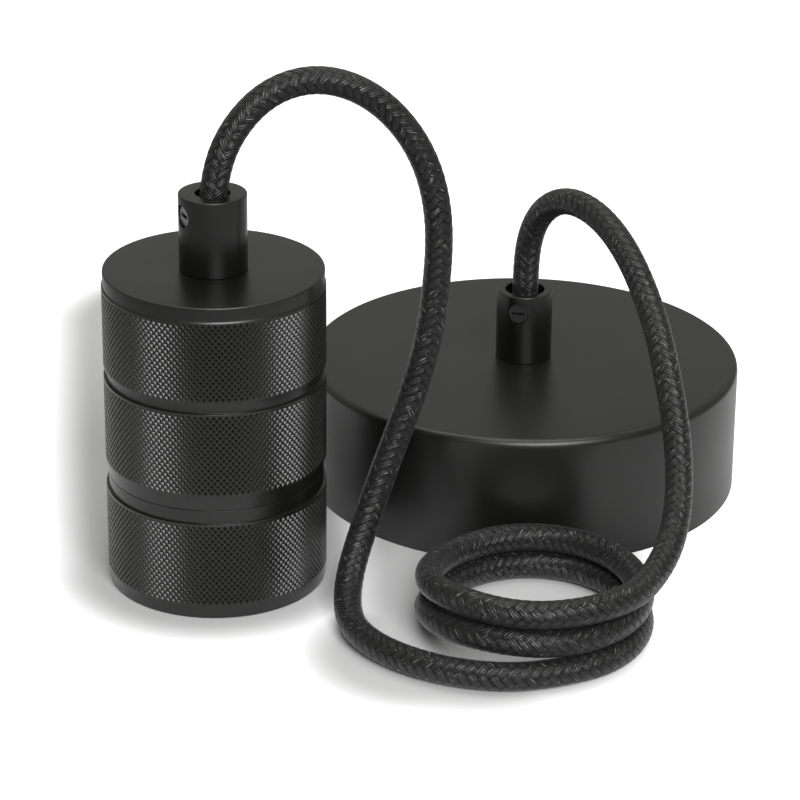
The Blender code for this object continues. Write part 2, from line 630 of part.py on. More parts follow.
def build_earth_lug(name, seat, towards, barrel):
    """A ring terminal: an eye for the screw and a barrel, which points along barrel, for the wire."""
    towards, barrel = Vector(towards), Vector(barrel)
    eye = M4_RADIUS + SCREW_FIT
    outline = [(LUG_RADIUS, LUG_THICKNESS), (LUG_RADIUS, 0), (eye, 0), (eye, LUG_THICKNESS)]
    lug = turned(name, outline, nickel_brass, seat, SEGMENTS_SMALL)
    lug.rotation_euler = towards.to_track_quat("Z", "Y").to_euler()
    start = seat + barrel * (M4_HEAD_RADIUS + SCREW_FIT) + towards * LUG_BARREL_RADIUS
    end = start + barrel * LUG_BARREL_LENGTH
    join_rod(lug, name + " barrel", LUG_BARREL_RADIUS, start, end)
    inside = start + barrel * (LUG_BARREL_LENGTH / 2)
    cut_rod(lug, name + " bore", LUG_BARREL_BORE, inside, end + barrel * LUG_RADIUS)
    return end


def core_route(start, middle, end, end_direction):
    """A core's run: straight out of the cord, through its own middle points, straight into its terminal."""
    start, end, end_direction = Vector(start), Vector(end), Vector(end_direction)
    lead_out = start - Vector((0, 0, CORE_RADIUS * 2))
    lead_in = end - end_direction * CORE_RADIUS * 2.5
    points = [start, lead_out] + [Vector(p) for p in middle] + [lead_in, end]
    return spline_through(points, CORE_RADIUS * 2)


def build_core(name, start, middle, end, end_direction, material):
    """An insulated core with its bared wire, which goes a little way into the terminal."""
    route = core_route(start, middle, end, end_direction)
    direction = Vector(end_direction)
    bare = [Vector(end) + direction * reach for reach in (SEAT_GAP, 2 * CORE_RADIUS)]
    points = list(route) + bare
    tube(name, points, CORE_RADIUS, material, 1, (1, BARE_WIRE / CORE_RADIUS))


def core_start(at, height, index):
    angle = math.radians(120 * index - 90)
    return at + Vector((CORE_SPREAD * math.cos(angle), CORE_SPREAD * math.sin(angle), height - SEAT_GAP))


def build_rose_wiring():
    seat = ROSE_AT + Vector((0, -ROSE_EARTH_AT, STRAP_TOP + SEAT_GAP))
    barrel_end = build_earth_lug("rose_earth_lug", seat, (0, 0, 1), (0, 1, 0))
    screw_seat = seat + Vector((0, 0, LUG_THICKNESS + SEAT_GAP))
    length = screw_seat.z - STRAP_LIFT - SEAT_GAP
    slotted_screw("rose_earth_screw", M4_RADIUS, length, M4_HEAD_RADIUS, CHEESE_HEAD,
                  zinc_steel, screw_seat, (0, 0, 1))
    into = Vector((0, -1, 0))
    start = core_start(ROSE_AT, CORD_END_IN_ROSE, 0)
    end = barrel_end - into * SEAT_GAP
    build_core("core_earth_rose", start, [start.lerp(end, 0.5)], end, into, green_yellow)
    entry_y = BLOCK_AT - BLOCK_LENGTH / 2 - SEAT_GAP
    for label, index, side, material in (("live", 2, -1, brown), ("neutral", 1, 1, blue)):
        start = core_start(ROSE_AT, CORD_END_IN_ROSE, index)
        entry = ROSE_AT + Vector((side * POLE_SPACING / 2, entry_y, BLOCK_BOTTOM + POLE_HEIGHT))
        corner = entry + Vector((0, -2.2 * CORE_BEND, 0.75 * CORE_BEND))
        middle = [start.lerp(corner, 0.5), corner]
        build_core("core_" + label + "_rose", start, middle, entry, (0, 1, 0), material)


def build_rose():
    build_rose_cup()
    grub_point, grub_towards = build_grip(
        "rose_grip", ROSE_AT, ROSE_HEIGHT, ROSE_GRIP_RADIUS, ROSE_GRIP_HEIGHT, ROSE_GRIP_MOUTH,
        ROSE_GRIP_MOUTH_DEPTH, ROSE_NIPPLE, ROSE_GRUB_DEPTH, ROSE_GRUB_ANGLE)
    build_grub("rose_grip_screw", grub_point, grub_towards, ROSE_GRIP_RADIUS, ROSE_GRUB_SINK, black_screw)
    washer_top = ROSE_HEIGHT - ROSE_WALL - SEAT_GAP
    build_washer("rose_washer", ROSE_AT, washer_top)
    build_nut("rose_nut", ROSE_AT, washer_top - WASHER_THICKNESS - SEAT_GAP)
    build_bracket()
    build_side_screws()
    build_terminal_block()
    build_rose_wiring()


def build_holder_shells():
    """The shell is in two pieces, which screw together in the middle of the lower groove."""
    upper_bands = ((UPPER_BAND_BOTTOM, UPPER_BAND_TOP), (MIDDLE_BAND_BOTTOM, MIDDLE_BAND_TOP))
    step = (KNURL_ROOT - GROOVE_RADIUS)
    outline = [(NIPPLE_HOLE, HOLDER_HEIGHT), (HOLDER_GRIP_RADIUS + 2 * SEAT_GAP, HOLDER_HEIGHT),
               (COLLAR_RADIUS - SHELL_EDGE, HOLDER_HEIGHT), (COLLAR_RADIUS, HOLDER_HEIGHT - SHELL_EDGE),
               (COLLAR_RADIUS, UPPER_BAND_TOP + 2 * step), (GROOVE_RADIUS, UPPER_BAND_TOP + step)]
    outline += band_outline(UPPER_BAND_TOP, UPPER_BAND_BOTTOM)
    outline += [(GROOVE_RADIUS, UPPER_BAND_BOTTOM - step), (GROOVE_RADIUS, MIDDLE_BAND_TOP + step)]
    outline += band_outline(MIDDLE_BAND_TOP, MIDDLE_BAND_BOTTOM)
    bottom = SHELL_PARTING + SEAT_GAP / 2
    outline += [(GROOVE_RADIUS, MIDDLE_BAND_BOTTOM - step), (GROOVE_RADIUS, bottom), (SHELL_BORE, bottom),
                (SHELL_BORE, HOLDER_HEIGHT - CAP_THICKNESS), (NIPPLE_HOLE, HOLDER_HEIGHT - CAP_THICKNESS)]
    knurled_shell("holder_upper_shell", outline, upper_bands, black_aluminium)

    spigot = SHELL_BORE - SLIDE_FIT
    top = SHELL_PARTING - SEAT_GAP / 2
    outline = [(spigot, SPIGOT_TOP), (spigot, top), (GROOVE_RADIUS, top),
               (GROOVE_RADIUS, LOWER_BAND_TOP + step)]
    outline += band_outline(LOWER_BAND_TOP, RIM_HEIGHT)
    outline += [(COLLAR_RADIUS, RIM_HEIGHT - step), (COLLAR_RADIUS, SHELL_EDGE),
                (COLLAR_RADIUS - SHELL_EDGE, 0), (LIP_BORE, 0), (LIP_BORE, LIP_THICKNESS),
                (SPIGOT_BORE, LIP_THICKNESS), (SPIGOT_BORE, SPIGOT_TOP)]
    knurled_shell("holder_lower_ring", outline, ((RIM_HEIGHT, LOWER_BAND_TOP),), black_aluminium)


def build_socket_body():
    outline = [
        (SOCKET_RADIUS, SOCKET_TOP), (SOCKET_RADIUS, SOCKET_BOTTOM), (SOCKET_CAVITY, SOCKET_BOTTOM),
        (SOCKET_CAVITY, SOCKET_FLOOR), (0, SOCKET_FLOOR),
    ]
    body = turned("socket_body", [(0, SOCKET_TOP)] + outline, white_ceramic, HOLDER_AT, SEGMENTS_MEDIUM)
    for label, side in (("left", -1), ("right", 1)):
        foot = HOLDER_AT + Vector((side * INSERT_SCREW_AT, 0, 0))
        above = foot + Vector((0, 0, SOCKET_TOP + LIP_THICKNESS))
        cut_rod(body, "insert channel " + label, M3_RADIUS + SCREW_FIT, foot, above)
        recess = foot + Vector((0, 0, SOCKET_BOTTOM + INSERT_SCREW_SINK))
        cut_rod(body, "insert recess " + label, M3_HEAD_RADIUS + SCREW_FIT, foot, recess)
        seat = recess - Vector((0, 0, SEAT_GAP))
        length = INSERT_SCREW_TOP - seat.z
        slotted_screw("insert_screw_" + label, M3_RADIUS, length, M3_HEAD_RADIUS, CHEESE_HEAD, zinc_steel,
                      seat, (0, 0, -1))
    for label, y in (("live", LIVE_STEM_AT), ("neutral", NEUTRAL_TERMINAL_AT)):
        low = HOLDER_AT + Vector((0, y, SOCKET_FLOOR - SEAT_GAP))
        high = low + Vector((0, 0, 2 * SOCKET_FLOOR_THICKNESS))
        cut_rod(body, "stem hole " + label, STEM_RADIUS + SCREW_FIT, low, high)


def build_screw_shell():
    """The lamp's threaded shell. Its waves have the thread's pitch and depth."""
    waves = math.floor((SCREW_SHELL_TOP - SCREW_SHELL_MOUTH - 2 * SCREW_SHELL_WALL) / SCREW_SHELL_PITCH)
    first = SCREW_SHELL_TOP - 2 * SCREW_SHELL_WALL
    half = SCREW_SHELL_WALL / 2
    wave = []
    for i in range(2 * waves + 1):
        side = 1 if i % 2 else -1
        wave.append((SCREW_SHELL_RADIUS + side * SCREW_SHELL_WAVE, first - i * SCREW_SHELL_PITCH / 2))
    outer = [(radius + half, height) for radius, height in wave]
    inner = [(radius - half, height) for radius, height in reversed(wave)]
    flange_bottom = SCREW_SHELL_TOP - SCREW_SHELL_WALL
    outline = [(SCREW_SHELL_FLANGE, SCREW_SHELL_TOP), (SCREW_SHELL_RADIUS, SCREW_SHELL_TOP)] + outer
    outline += [(SCREW_SHELL_RADIUS + side, SCREW_SHELL_MOUTH) for side in (half, -half)]
    outline += inner[:-1] + [(SCREW_SHELL_RADIUS - SCREW_SHELL_WAVE - half, flange_bottom),
                             (SCREW_SHELL_FLANGE, flange_bottom)]
    turned("screw_shell", outline, nickel_brass, HOLDER_AT, SEGMENTS_MEDIUM)


def build_contacts():
    leaf_z = SCREW_SHELL_TOP - CONTACT_THICKNESS / 2
    start = -(SCREW_SHELL_FLANGE - SLIDE_FIT - CONTACT_THICKNESS)
    path = [(0, start, leaf_z), (0, start + 4.5 * MM, leaf_z), (0, -1.8 * MM, leaf_z - CONTACT_TRAVEL),
            (0, 1.8 * MM, leaf_z - CONTACT_TRAVEL), (0, 3.6 * MM, leaf_z - CONTACT_TRAVEL * 0.35)]
    sheet = (CONTACT_WIDTH, CONTACT_THICKNESS)
    folded_strip("centre_contact", path, *sheet, nickel_brass, HOLDER_AT, (1, 0, 0))
    base = SOCKET_TOP + SEAT_GAP
    for label, y, stem_y in (("live", LIVE_TERMINAL_AT, LIVE_STEM_AT),
                             ("neutral", NEUTRAL_TERMINAL_AT, NEUTRAL_TERMINAL_AT)):
        name = label + "_terminal"
        at = HOLDER_AT + Vector((0, y, base + TERMINAL_HEIGHT / 2))
        size = (TERMINAL_WIDTH, TERMINAL_DEPTH, TERMINAL_HEIGHT)
        block = add_part(name, box_mesh(name, size), nickel_brass, at)
        foot = HOLDER_AT + Vector((0, stem_y, SOCKET_FLOOR))
        head = Vector((foot.x, foot.y, base + STEM_RADIUS))
        join_rod(block, name + " stem", STEM_RADIUS, foot, head)
        wire = HOLDER_AT + Vector((0, y, base + WIRE_HOLE_HEIGHT))
        side = Vector((TERMINAL_WIDTH, 0, 0))
        cut_rod(block, name + " wire hole", WIRE_HOLE, wire - side, wire + side)
        top = base + TERMINAL_HEIGHT
        well = HOLDER_AT + Vector((0, y, wire.z))
        above = well + Vector((0, 0, 2 * TERMINAL_HEIGHT))
        cut_rod(block, name + " thread", M3_RADIUS + SCREW_FIT, well, above)
        seat = HOLDER_AT + Vector((0, y, top + SEAT_GAP))
        length = seat.z - wire.z - BARE_WIRE - SEAT_GAP
        slotted_screw(label + "_terminal_screw", M3_RADIUS, length, M3_HEAD_RADIUS, CHEESE_HEAD, zinc_steel,
                      seat, (0, 0, 1))


def build_bridge():
    reach = BRIDGE_REACH - BRIDGE_THICKNESS / 2
    low = BRIDGE_BOTTOM + BRIDGE_THICKNESS / 2
    high = BRIDGE_TOP - BRIDGE_THICKNESS / 2
    toe = BRIDGE_REACH - BRIDGE_FOOT
    path = [(-toe, 0, low), (-reach, 0, low), (-reach, 0, high),
            (reach, 0, high), (reach, 0, low), (toe, 0, low)]
    sheet = (BRIDGE_WIDTH, BRIDGE_THICKNESS)
    bridge = folded_strip("socket_bridge", path, *sheet, zinc_steel, HOLDER_AT, (0, 1, 0))
    up = Vector((0, 0, BRIDGE_THICKNESS))
    plate = HOLDER_AT + Vector((0, 0, BRIDGE_TOP))
    cut_rod(bridge, "bridge nipple hole", NIPPLE_HOLE, plate - 2 * up, plate + up, SEGMENTS_MEDIUM)
    for label, side in (("left", -1), ("right", 1)):
        foot = HOLDER_AT + Vector((side * INSERT_SCREW_AT, 0, BRIDGE_BOTTOM))
        cut_rod(bridge, "foot thread " + label, M3_RADIUS + SCREW_FIT, foot - up, foot + 2 * up)
    leg = HOLDER_AT + Vector((-BRIDGE_REACH, 0, HOLDER_EARTH_HEIGHT))
    inwards = Vector((BRIDGE_THICKNESS, 0, 0))
    cut_rod(bridge, "earth thread", M4_RADIUS + SCREW_FIT, leg - inwards, leg + 3 * inwards)


def build_holder_wiring():
    seat = HOLDER_AT + Vector((-BRIDGE_REACH + BRIDGE_THICKNESS + SEAT_GAP, 0, HOLDER_EARTH_HEIGHT))
    barrel_end = build_earth_lug("holder_earth_lug", seat, (1, 0, 0), (0, 0, 1))
    screw_seat = seat + Vector((LUG_THICKNESS + SEAT_GAP, 0, 0))
    length = LUG_THICKNESS + 2 * SEAT_GAP + BRIDGE_THICKNESS
    slotted_screw("holder_earth_screw", M4_RADIUS, length, M4_HEAD_RADIUS, CHEESE_HEAD,
                  zinc_steel, screw_seat, (1, 0, 0))
    down = Vector((0, 0, -1))
    start = core_start(HOLDER_AT, CORD_END_IN_HOLDER, 2)
    end = barrel_end - down * SEAT_GAP
    middle = [start.lerp(end, 0.4), end + Vector((CORE_BEND, 0, CORE_BEND))]
    build_core("core_earth_holder", start, middle, end, down, green_yellow)
    entry_z = SOCKET_TOP + SEAT_GAP + WIRE_HOLE_HEIGHT
    for label, index, y, material in (("live", 0, LIVE_TERMINAL_AT, brown),
                                      ("neutral", 1, NEUTRAL_TERMINAL_AT, blue)):
        start = core_start(HOLDER_AT, CORD_END_IN_HOLDER, index)
        entry = HOLDER_AT + Vector((TERMINAL_WIDTH / 2 + SEAT_GAP, y, entry_z))
        corner = entry + Vector((1.8 * CORE_BEND, 0, CORE_BEND))
        middle = [start.lerp(corner, 0.35), start.lerp(corner, 0.7), corner]
        build_core("core_" + label + "_holder", start, middle, entry, (-1, 0, 0), material)


def build_holder():
    build_holder_shells()
    grub_point, grub_towards = build_grip(
        "holder_grip", HOLDER_AT, HOLDER_HEIGHT, HOLDER_GRIP_RADIUS, HOLDER_GRIP_HEIGHT, HOLDER_GRIP_MOUTH,
        HOLDER_GRIP_MOUTH_DEPTH, HOLDER_NIPPLE, HOLDER_GRUB_DEPTH, HOLDER_GRUB_ANGLE)
    build_grub(
        "holder_grip_screw", grub_point, grub_towards, HOLDER_GRIP_RADIUS, HOLDER_GRUB_SINK, zinc_steel)
    washer_top = BRIDGE_TOP - BRIDGE_THICKNESS - SEAT_GAP
    build_washer("holder_washer", HOLDER_AT, washer_top)
    build_nut("holder_nut", HOLDER_AT, washer_top - WASHER_THICKNESS - SEAT_GAP)
    build_socket_body()
    build_screw_shell()
    build_contacts()
    build_bridge()
    build_holder_wiring()


def coil_point(angle):
    """A point of the coil: an oval that climbs one cord's thickness on a part of each turn."""
    height = COIL_LEVELS[0]
    for climb, low, high in zip(COIL_CLIMBS, COIL_LEVELS, COIL_LEVELS[1:]):
        share = min(1, max(0, (angle - climb) / COIL_CLIMB_SPAN + 0.5))
        height += (high - low) * share * share * (3 - 2 * share)
    drift = COIL_DRIFT * (height - COIL_LEVELS[0]) / (2 * CORD_RADIUS)
    around = math.radians(angle)
    return (COIL_CENTRE_X + COIL_RADIUS_X * math.cos(around),
            COIL_CENTRE_Y + COIL_RADIUS_Y * math.sin(around) + drift, height)


def raised(points, drawn_height, height, floor):
    """Points of the route in metres, with their heights above floor scaled to the mouth's real height."""
    scale = (height - floor) / (drawn_height - floor)
    return [(x * MM, y * MM, floor + (z * MM - floor) * scale) for x, y, z in points]


def cord_route():
    """The cord's middle line: up through the holder's grip, over the arch, round the coil, into the rose."""
    below_mouth = HOLDER_MOUTH - 1.5 * HOLDER_GRIP_MOUTH_DEPTH
    in_holder = [(HOLDER_X, HOLDER_Y, z) for z in (CORD_END_IN_HOLDER, below_mouth)]
    arch = raised(ROUTE_FROM_HOLDER, DRAWN_HOLDER_MOUTH, HOLDER_MOUTH, COIL_LEVELS[0])
    step = (COIL_LAST_ANGLE - COIL_FIRST_ANGLE) / (COIL_POINTS - 1)
    turns = [coil_point(COIL_FIRST_ANGLE + step * i) for i in range(COIL_POINTS)]
    riser = raised(ROUTE_TO_ROSE, DRAWN_ROSE_MOUTH, ROSE_MOUTH, COIL_LEVELS[-1])
    in_rose = [(ROSE_X, ROSE_Y, z) for z in (ROSE_MOUTH - 1.4 * ROSE_GRIP_MOUTH_DEPTH, CORD_END_IN_ROSE)]
    return spline_through(in_holder + arch + turns + riser + in_rose, CORD_SPACING / CORD_FINE_STEPS)


def clear_of_coil(point):
    """True where the cord's own tube stays clear of the coil's ring."""
    reach = CORD_RADIUS + SEAT_GAP
    x, y, z = point
    if z - reach > COIL_TOP:
        return True
    across = (x - COIL_CENTRE_X) / (COIL_RADIUS_X + COIL_HALF_WIDTH + reach)
    along = (y - COIL_MIDDLE_Y) / (COIL_RADIUS_Y + COIL_HALF_WIDTH + reach)
    return math.hypot(across, along) > 1


def every(points, step):
    """Every step-th point, and the last one."""
    return list(points[:-1:step]) + [points[-1]]


def build_cord():
    route = cord_route()
    clear = [clear_of_coil(point) for point in route]
    into_coil = clear.index(False)
    out_of_coil = len(route) - clear[::-1].index(False)
    tube("cord_to_holder", every(route[:into_coil], CORD_FINE_STEPS), CORD_RADIUS, black_braid)
    tube("cord_to_rose", every(route[:out_of_coil - 1:-1], CORD_FINE_STEPS), CORD_RADIUS, black_braid)
    build_coil()


def build_coil():
    """The coil's outer shape: an oval ring that holds its turns."""
    edge = CORD_RADIUS * 0.5
    low, high = SEAT_GAP / 6, COIL_TOP
    outer, inner = COIL_RADIUS_X + COIL_HALF_WIDTH, COIL_RADIUS_X - COIL_HALF_WIDTH
    outline = [(outer - edge, high), (outer, high - edge), (outer, low + edge), (outer - edge, low),
               (inner + edge, low), (inner, low + edge), (inner, high - edge), (inner + edge, high)]
    ring = add_part("cord_coil", outline_mesh("cord_coil", outline, True), black_braid,
                    (COIL_CENTRE_X, COIL_MIDDLE_Y, 0))
    turn(ring, SEGMENTS_LARGE)
    ring.scale = (1, (COIL_RADIUS_Y + COIL_HALF_WIDTH) / outer, 1)


clear_scene()
parts = new_collection("Pendant cord set")
cutters = new_collection("Cutters")

black_steel = new_material("black powder coated steel", "2b2b2a", 0.0, 0.42)
black_aluminium = new_material("black anodised aluminium", "262625", 0.4, 0.40)
black_screw = new_material("blackened steel", "232323", 0.6, 0.45)
zinc_steel = new_material("zinc plated steel", "a9abac", 1.0, 0.35)
nickel_brass = new_material("nickel plated brass", "c2bba6", 1.0, 0.30)
white_ceramic = new_material("glazed ceramic", "e6e3da", 0.0, 0.25)
black_braid = new_material("black textile braid", "262626", 0.0, 0.9)
brown = new_material("brown core insulation", "6b3f22", 0.0, 0.45)
blue = new_material("blue core insulation", "2d5f9e", 0.0, 0.45)
green_yellow = new_material("earth core insulation", "8aa62d", 0.0, 0.45)

build_rose()
build_holder()
build_cord()
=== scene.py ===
# %% [markdown]
# # A black pendant cord set
#
# Three things are sold as one set: a knurled metal lamp holder, a round ceiling rose, and the braided
# cord that joins them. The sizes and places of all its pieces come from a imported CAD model, which loads
# here as a fixed frame. This lesson dresses that frame: it works out fine surfaces with numpy, such as
# the braid, the knurling and the lamp thread, and gives each piece the finish that its maker gave it.
# Every place is in metres, with Z up, and the set stands on the floor at Z = 0.

# %% The fixed frame
import json
import math

import bpy
import numpy as np
from mathutils import Matrix, Vector


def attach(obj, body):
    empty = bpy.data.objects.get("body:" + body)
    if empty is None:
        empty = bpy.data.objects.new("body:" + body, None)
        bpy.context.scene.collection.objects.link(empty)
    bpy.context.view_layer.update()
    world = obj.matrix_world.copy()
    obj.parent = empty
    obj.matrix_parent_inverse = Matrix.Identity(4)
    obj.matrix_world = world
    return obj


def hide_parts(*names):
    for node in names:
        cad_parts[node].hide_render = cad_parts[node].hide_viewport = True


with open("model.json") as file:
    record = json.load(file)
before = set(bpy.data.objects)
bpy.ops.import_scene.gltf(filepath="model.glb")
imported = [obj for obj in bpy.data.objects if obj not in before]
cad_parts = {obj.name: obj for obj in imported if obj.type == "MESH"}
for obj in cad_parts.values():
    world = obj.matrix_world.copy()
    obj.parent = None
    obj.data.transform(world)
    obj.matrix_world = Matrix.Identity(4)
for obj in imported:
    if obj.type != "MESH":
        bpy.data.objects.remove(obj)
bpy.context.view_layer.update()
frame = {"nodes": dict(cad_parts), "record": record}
MM = 0.001
HOLDER_AXIS = np.array([-47.35, -40.8, 0]) * MM
ROSE_AXIS = np.array([21.45, 13.2, 0]) * MM

# %% [markdown]
# ## The camera
#
# The photograph was taken from a little above, with a long lens. A long lens keeps the two round pieces
# free of distortion, so the camera stands 0.7 m away and is given a narrow field of view. Its direction
# is built from three unit vectors, right, up and forward, turned by the pitch and by a small roll.

# %% The camera
CAMERA_AT = np.array([-7.26, -698.5, 327.64]) * MM
PITCH, ROLL = math.radians(23.515), math.radians(0.519)
FOCAL_IN_PIXELS, IMAGE_WIDTH, SENSOR_WIDTH = 3300, 800, 36.0

forward = np.array([0, math.cos(PITCH), -math.sin(PITCH)])
level_right, level_up = np.array([1, 0, 0]), np.array([0, math.sin(PITCH), math.cos(PITCH)])
right = level_right * math.cos(ROLL) + level_up * math.sin(ROLL)
up = level_up * math.cos(ROLL) - level_right * math.sin(ROLL)

camera_data = bpy.data.cameras.new("camera")
camera_data.sensor_width = SENSOR_WIDTH
camera_data.lens = SENSOR_WIDTH * FOCAL_IN_PIXELS / IMAGE_WIDTH
camera_data.clip_start, camera_data.clip_end = 0.01, 20
camera = bpy.data.objects.new("camera", camera_data)
camera.matrix_world = Matrix([[*row, at] for row, at in zip(np.array([right, up, -forward]).T, CAMERA_AT)]
                             + [[0, 0, 0, 1]])
bpy.context.scene.collection.objects.link(camera)
bpy.context.scene.camera = camera
print("lens in mm:", camera_data.lens)

# %% [markdown]
# ## Where the cord goes
#
# The cord is one 6 mm flex that goes up through the holder's grip, over an arch, down to the table,
# twice round in a coil, and over a second arch into the rose's grip. A handful of points gives its
# middle line, and a natural cubic spline through them bends as an even, springy cord does. The coil is an
# oval that climbs by one thickness in a part of each turn, so that the turns lie on each other. Where the
# cord lies on the table, its middle is as high as the crests of its braid reach, 3.05 mm.

# %% The cord's middle line
HOLDER_MOUTH_HEIGHT = 89.0
COIL_CENTRE, COIL_HALF_AXES = (21.9, -68.0), (22.6, 25.2)
COIL_LEVELS, CLIMB_ANGLES, CLIMB_SPAN = (3.05, 9.15, 15.15), (195, 545), 120
COIL_ANGLES = np.linspace(-72, 640, 47)
LEAN_OF_COIL = 1 / 6
FROM_HOLDER = [
    (-47.35, -40.8, 60.5), (-47.35, -40.8, 75.5), (-47.1, -40.7, 88.5), (-44.9, -39.2, 97.9),
    (-41.5, -37.5, 103.6), (-35.3, -34.7, 108.9), (-26.0, -31.8, 111.1), (-16.4, -30.1, 108.4),
    (-7.8, -30.0, 101.4), (-2.6, -31.0, 93.2), (0.6, -33.3, 80.4), (0.4, -35.7, 67.6), (-1.4, -38.3, 54.6),
    (-5.1, -41.1, 41.6), (-10.0, -44.8, 28.3), (-15.0, -51.2, 15.1), (-17.9, -59.8, 6.8),
    (-17.9, -67.4, 3.7), (-15.2, -76.9, 3.05), (-6.7, -87.2, 3.05), (5.5, -93.7, 3.05), (19.0, -95.0, 3.05)]
TO_ROSE = [
    (40.6, -83.0, 15.2), (46.2, -74.0, 15.5), (49.8, -66.6, 17.8), (52.0, -60.1, 21.6), (53.1, -52.5, 27.9),
    (52.6, -43.5, 37.3), (51.2, -36.6, 44.9), (49.5, -30.1, 51.7), (46.3, -21.0, 59.8), (40.4, -9.3, 68.2),
    (32.9, 2.1, 71.3), (28.4, 8.1, 69.6), (24.7, 12.2, 65.1), (22.3, 14.4, 57.6), (21.6, 13.8, 47.1),
    (21.45, 13.2, 33.9), (21.45, 13.2, 19.5)]


def coil_line(angles):
    """An oval that climbs from level to level: each climb is a smooth step centred on its own angle. The
    higher turns lie a little further back."""
    heights = np.full(len(angles), COIL_LEVELS[0])
    for centre, low, high in zip(CLIMB_ANGLES, COIL_LEVELS, COIL_LEVELS[1:]):
        share = np.clip((angles - centre) / CLIMB_SPAN + 0.5, 0, 1)
        heights += (high - low) * share ** 2 * (3 - 2 * share)
    around = np.radians(angles)
    back = (heights - COIL_LEVELS[0]) * LEAN_OF_COIL
    return np.stack([COIL_CENTRE[0] + COIL_HALF_AXES[0] * np.cos(around),
                     COIL_CENTRE[1] + COIL_HALF_AXES[1] * np.sin(around) + back, heights], axis=1)


def spline_line(points, spacing):
    """Natural cubic spline in chord length: the second derivatives solve one linear system, in which each
    inner point weighs its two neighbours by the lengths of the spans to them."""
    knots = np.concatenate([[0], np.cumsum(np.linalg.norm(np.diff(points, axis=0), axis=1))])
    spans, slopes = np.diff(knots), np.diff(points, axis=0) / np.diff(knots)[:, None]
    system = np.diag(np.concatenate([[1], 2 * (spans[:-1] + spans[1:]), [1]]))
    system += np.diag(np.append(spans[:-1], 0), -1) + np.diag(np.insert(spans[1:], 0, 0), 1)
    bend = np.linalg.solve(system, 6 * np.vstack([np.zeros(3), np.diff(slopes, axis=0), np.zeros(3)]))
    places = np.linspace(0, knots[-1], round(knots[-1] / spacing) + 1)
    i = np.clip(np.searchsorted(knots, places, side="right") - 1, 0, len(spans) - 1)
    u, h = (places - knots[i])[:, None], spans[i][:, None]
    start_slope = slopes[i] - h * (2 * bend[i] + bend[i + 1]) / 6
    return points[i] + u * start_slope + u ** 2 * bend[i] / 2 + u ** 3 * (bend[i + 1] - bend[i]) / (6 * h)


CORD_STEP = 0.37 * MM
knots_of_cord = np.vstack([FROM_HOLDER, coil_line(COIL_ANGLES), TO_ROSE]) * MM
cord_line = spline_line(knots_of_cord, CORD_STEP)
cord_steps = np.linalg.norm(np.diff(cord_line, axis=0), axis=1)
cord_places = np.concatenate([[0], np.cumsum(cord_steps)])

# %% [markdown]
# ## From a grid of points to a mesh
#
# Nearly every piece here is round, so its surface is a grid: one direction runs along it, the other
# goes round it and closes on itself. One function turns such a grid into a mesh. The sum of the signed
# tetrahedra between the origin and each triangle is the volume inside the mesh, and if that is negative
# the faces point inwards and are flipped. The volume of each piece is printed too.

# %% Grid to mesh
def enclosed_volume(mesh):
    """Signed volume: a sixth of the sum of a . (b x c) over the triangles a, b, c."""
    mesh.calc_loop_triangles()
    corners = np.empty(len(mesh.loop_triangles) * 3, np.int32)
    places = np.empty(len(mesh.vertices) * 3)
    mesh.loop_triangles.foreach_get("vertices", corners)
    mesh.vertices.foreach_get("co", places)
    a, b, c = places.reshape(-1, 3)[corners.reshape(-1, 3)].transpose(1, 0, 2)
    return float(np.einsum("ij,ij->", a, np.cross(b, c)) / 6)


def grid_quads(rows, columns, joined_ends):
    """Cell (i, j) joins points (i, j), (i, j+1), (i+1, j+1), (i+1, j). Columns close on themselves."""
    row = np.arange(rows if joined_ends else rows - 1)[:, None]
    column = np.arange(columns)[None, :]
    next_row, next_column = (row + 1) % rows, (column + 1) % columns
    cells = [row * columns + column, row * columns + next_column,
             next_row * columns + next_column, next_row * columns + column]
    return np.stack(cells, axis=-1).reshape(-1, 4)


def solid_piece(name, vertices, faces):
    """An object from points and faces. Faces that point inwards are flipped."""
    mesh = bpy.data.meshes.new(name)
    mesh.from_pydata(vertices, [], faces)
    volume = enclosed_volume(mesh)
    if volume < 0:
        mesh.flip_normals()
    mesh.shade_smooth()
    piece = bpy.data.objects.new(name, mesh)
    bpy.context.scene.collection.objects.link(piece)
    print(f"{name}: {len(mesh.loop_triangles)} triangles, {abs(volume) * 1e6:.2f} cm3")
    return piece


def round_piece(name, points, joined_ends=True):
    """A mesh from points[row, column]. Its rows close into a ring, or its two ends get flat caps."""
    rows, columns = points.shape[:2]
    faces = grid_quads(rows, columns, joined_ends).tolist()
    if not joined_ends:
        last = rows * columns
        faces += [list(range(columns))[::-1], list(range(last - columns, last))]
    return solid_piece(name, points.reshape(-1, 3), faces)


# %% [markdown]
# ## The braid
#
# The sleeve is a plait of sixteen flat yarns: eight climb to the left, eight to the right, and each goes
# over two and under two. On a cord laid out flat, the place round it and the place along it give two
# slanted rulers, a and b. Both count the yarns passed on the way round, and along the cord one counts up
# and the other down, so their whole numbers are the edges of the yarns. Where floor(a) + floor(b) has
# remainder 2 or 3 by 4, a left-hand yarn is on top, and elsewhere a right-hand one. That makes eight rows
# along the cord, which lean left and right by turns, so that each pair reads as a row of chevrons. The
# same rulers serve twice: here they lift the surface of each yarn, and later the shader uses them for the
# strands, through a UV map that holds a and b.

# %% The cord's surface
YARNS_EACH_WAY = 8
YARN_RISE = 2.2 * MM
YARN_RELIEF = 0.13 * MM
YARN_CREST = 3.05 * MM
CORD_COLUMNS = 48


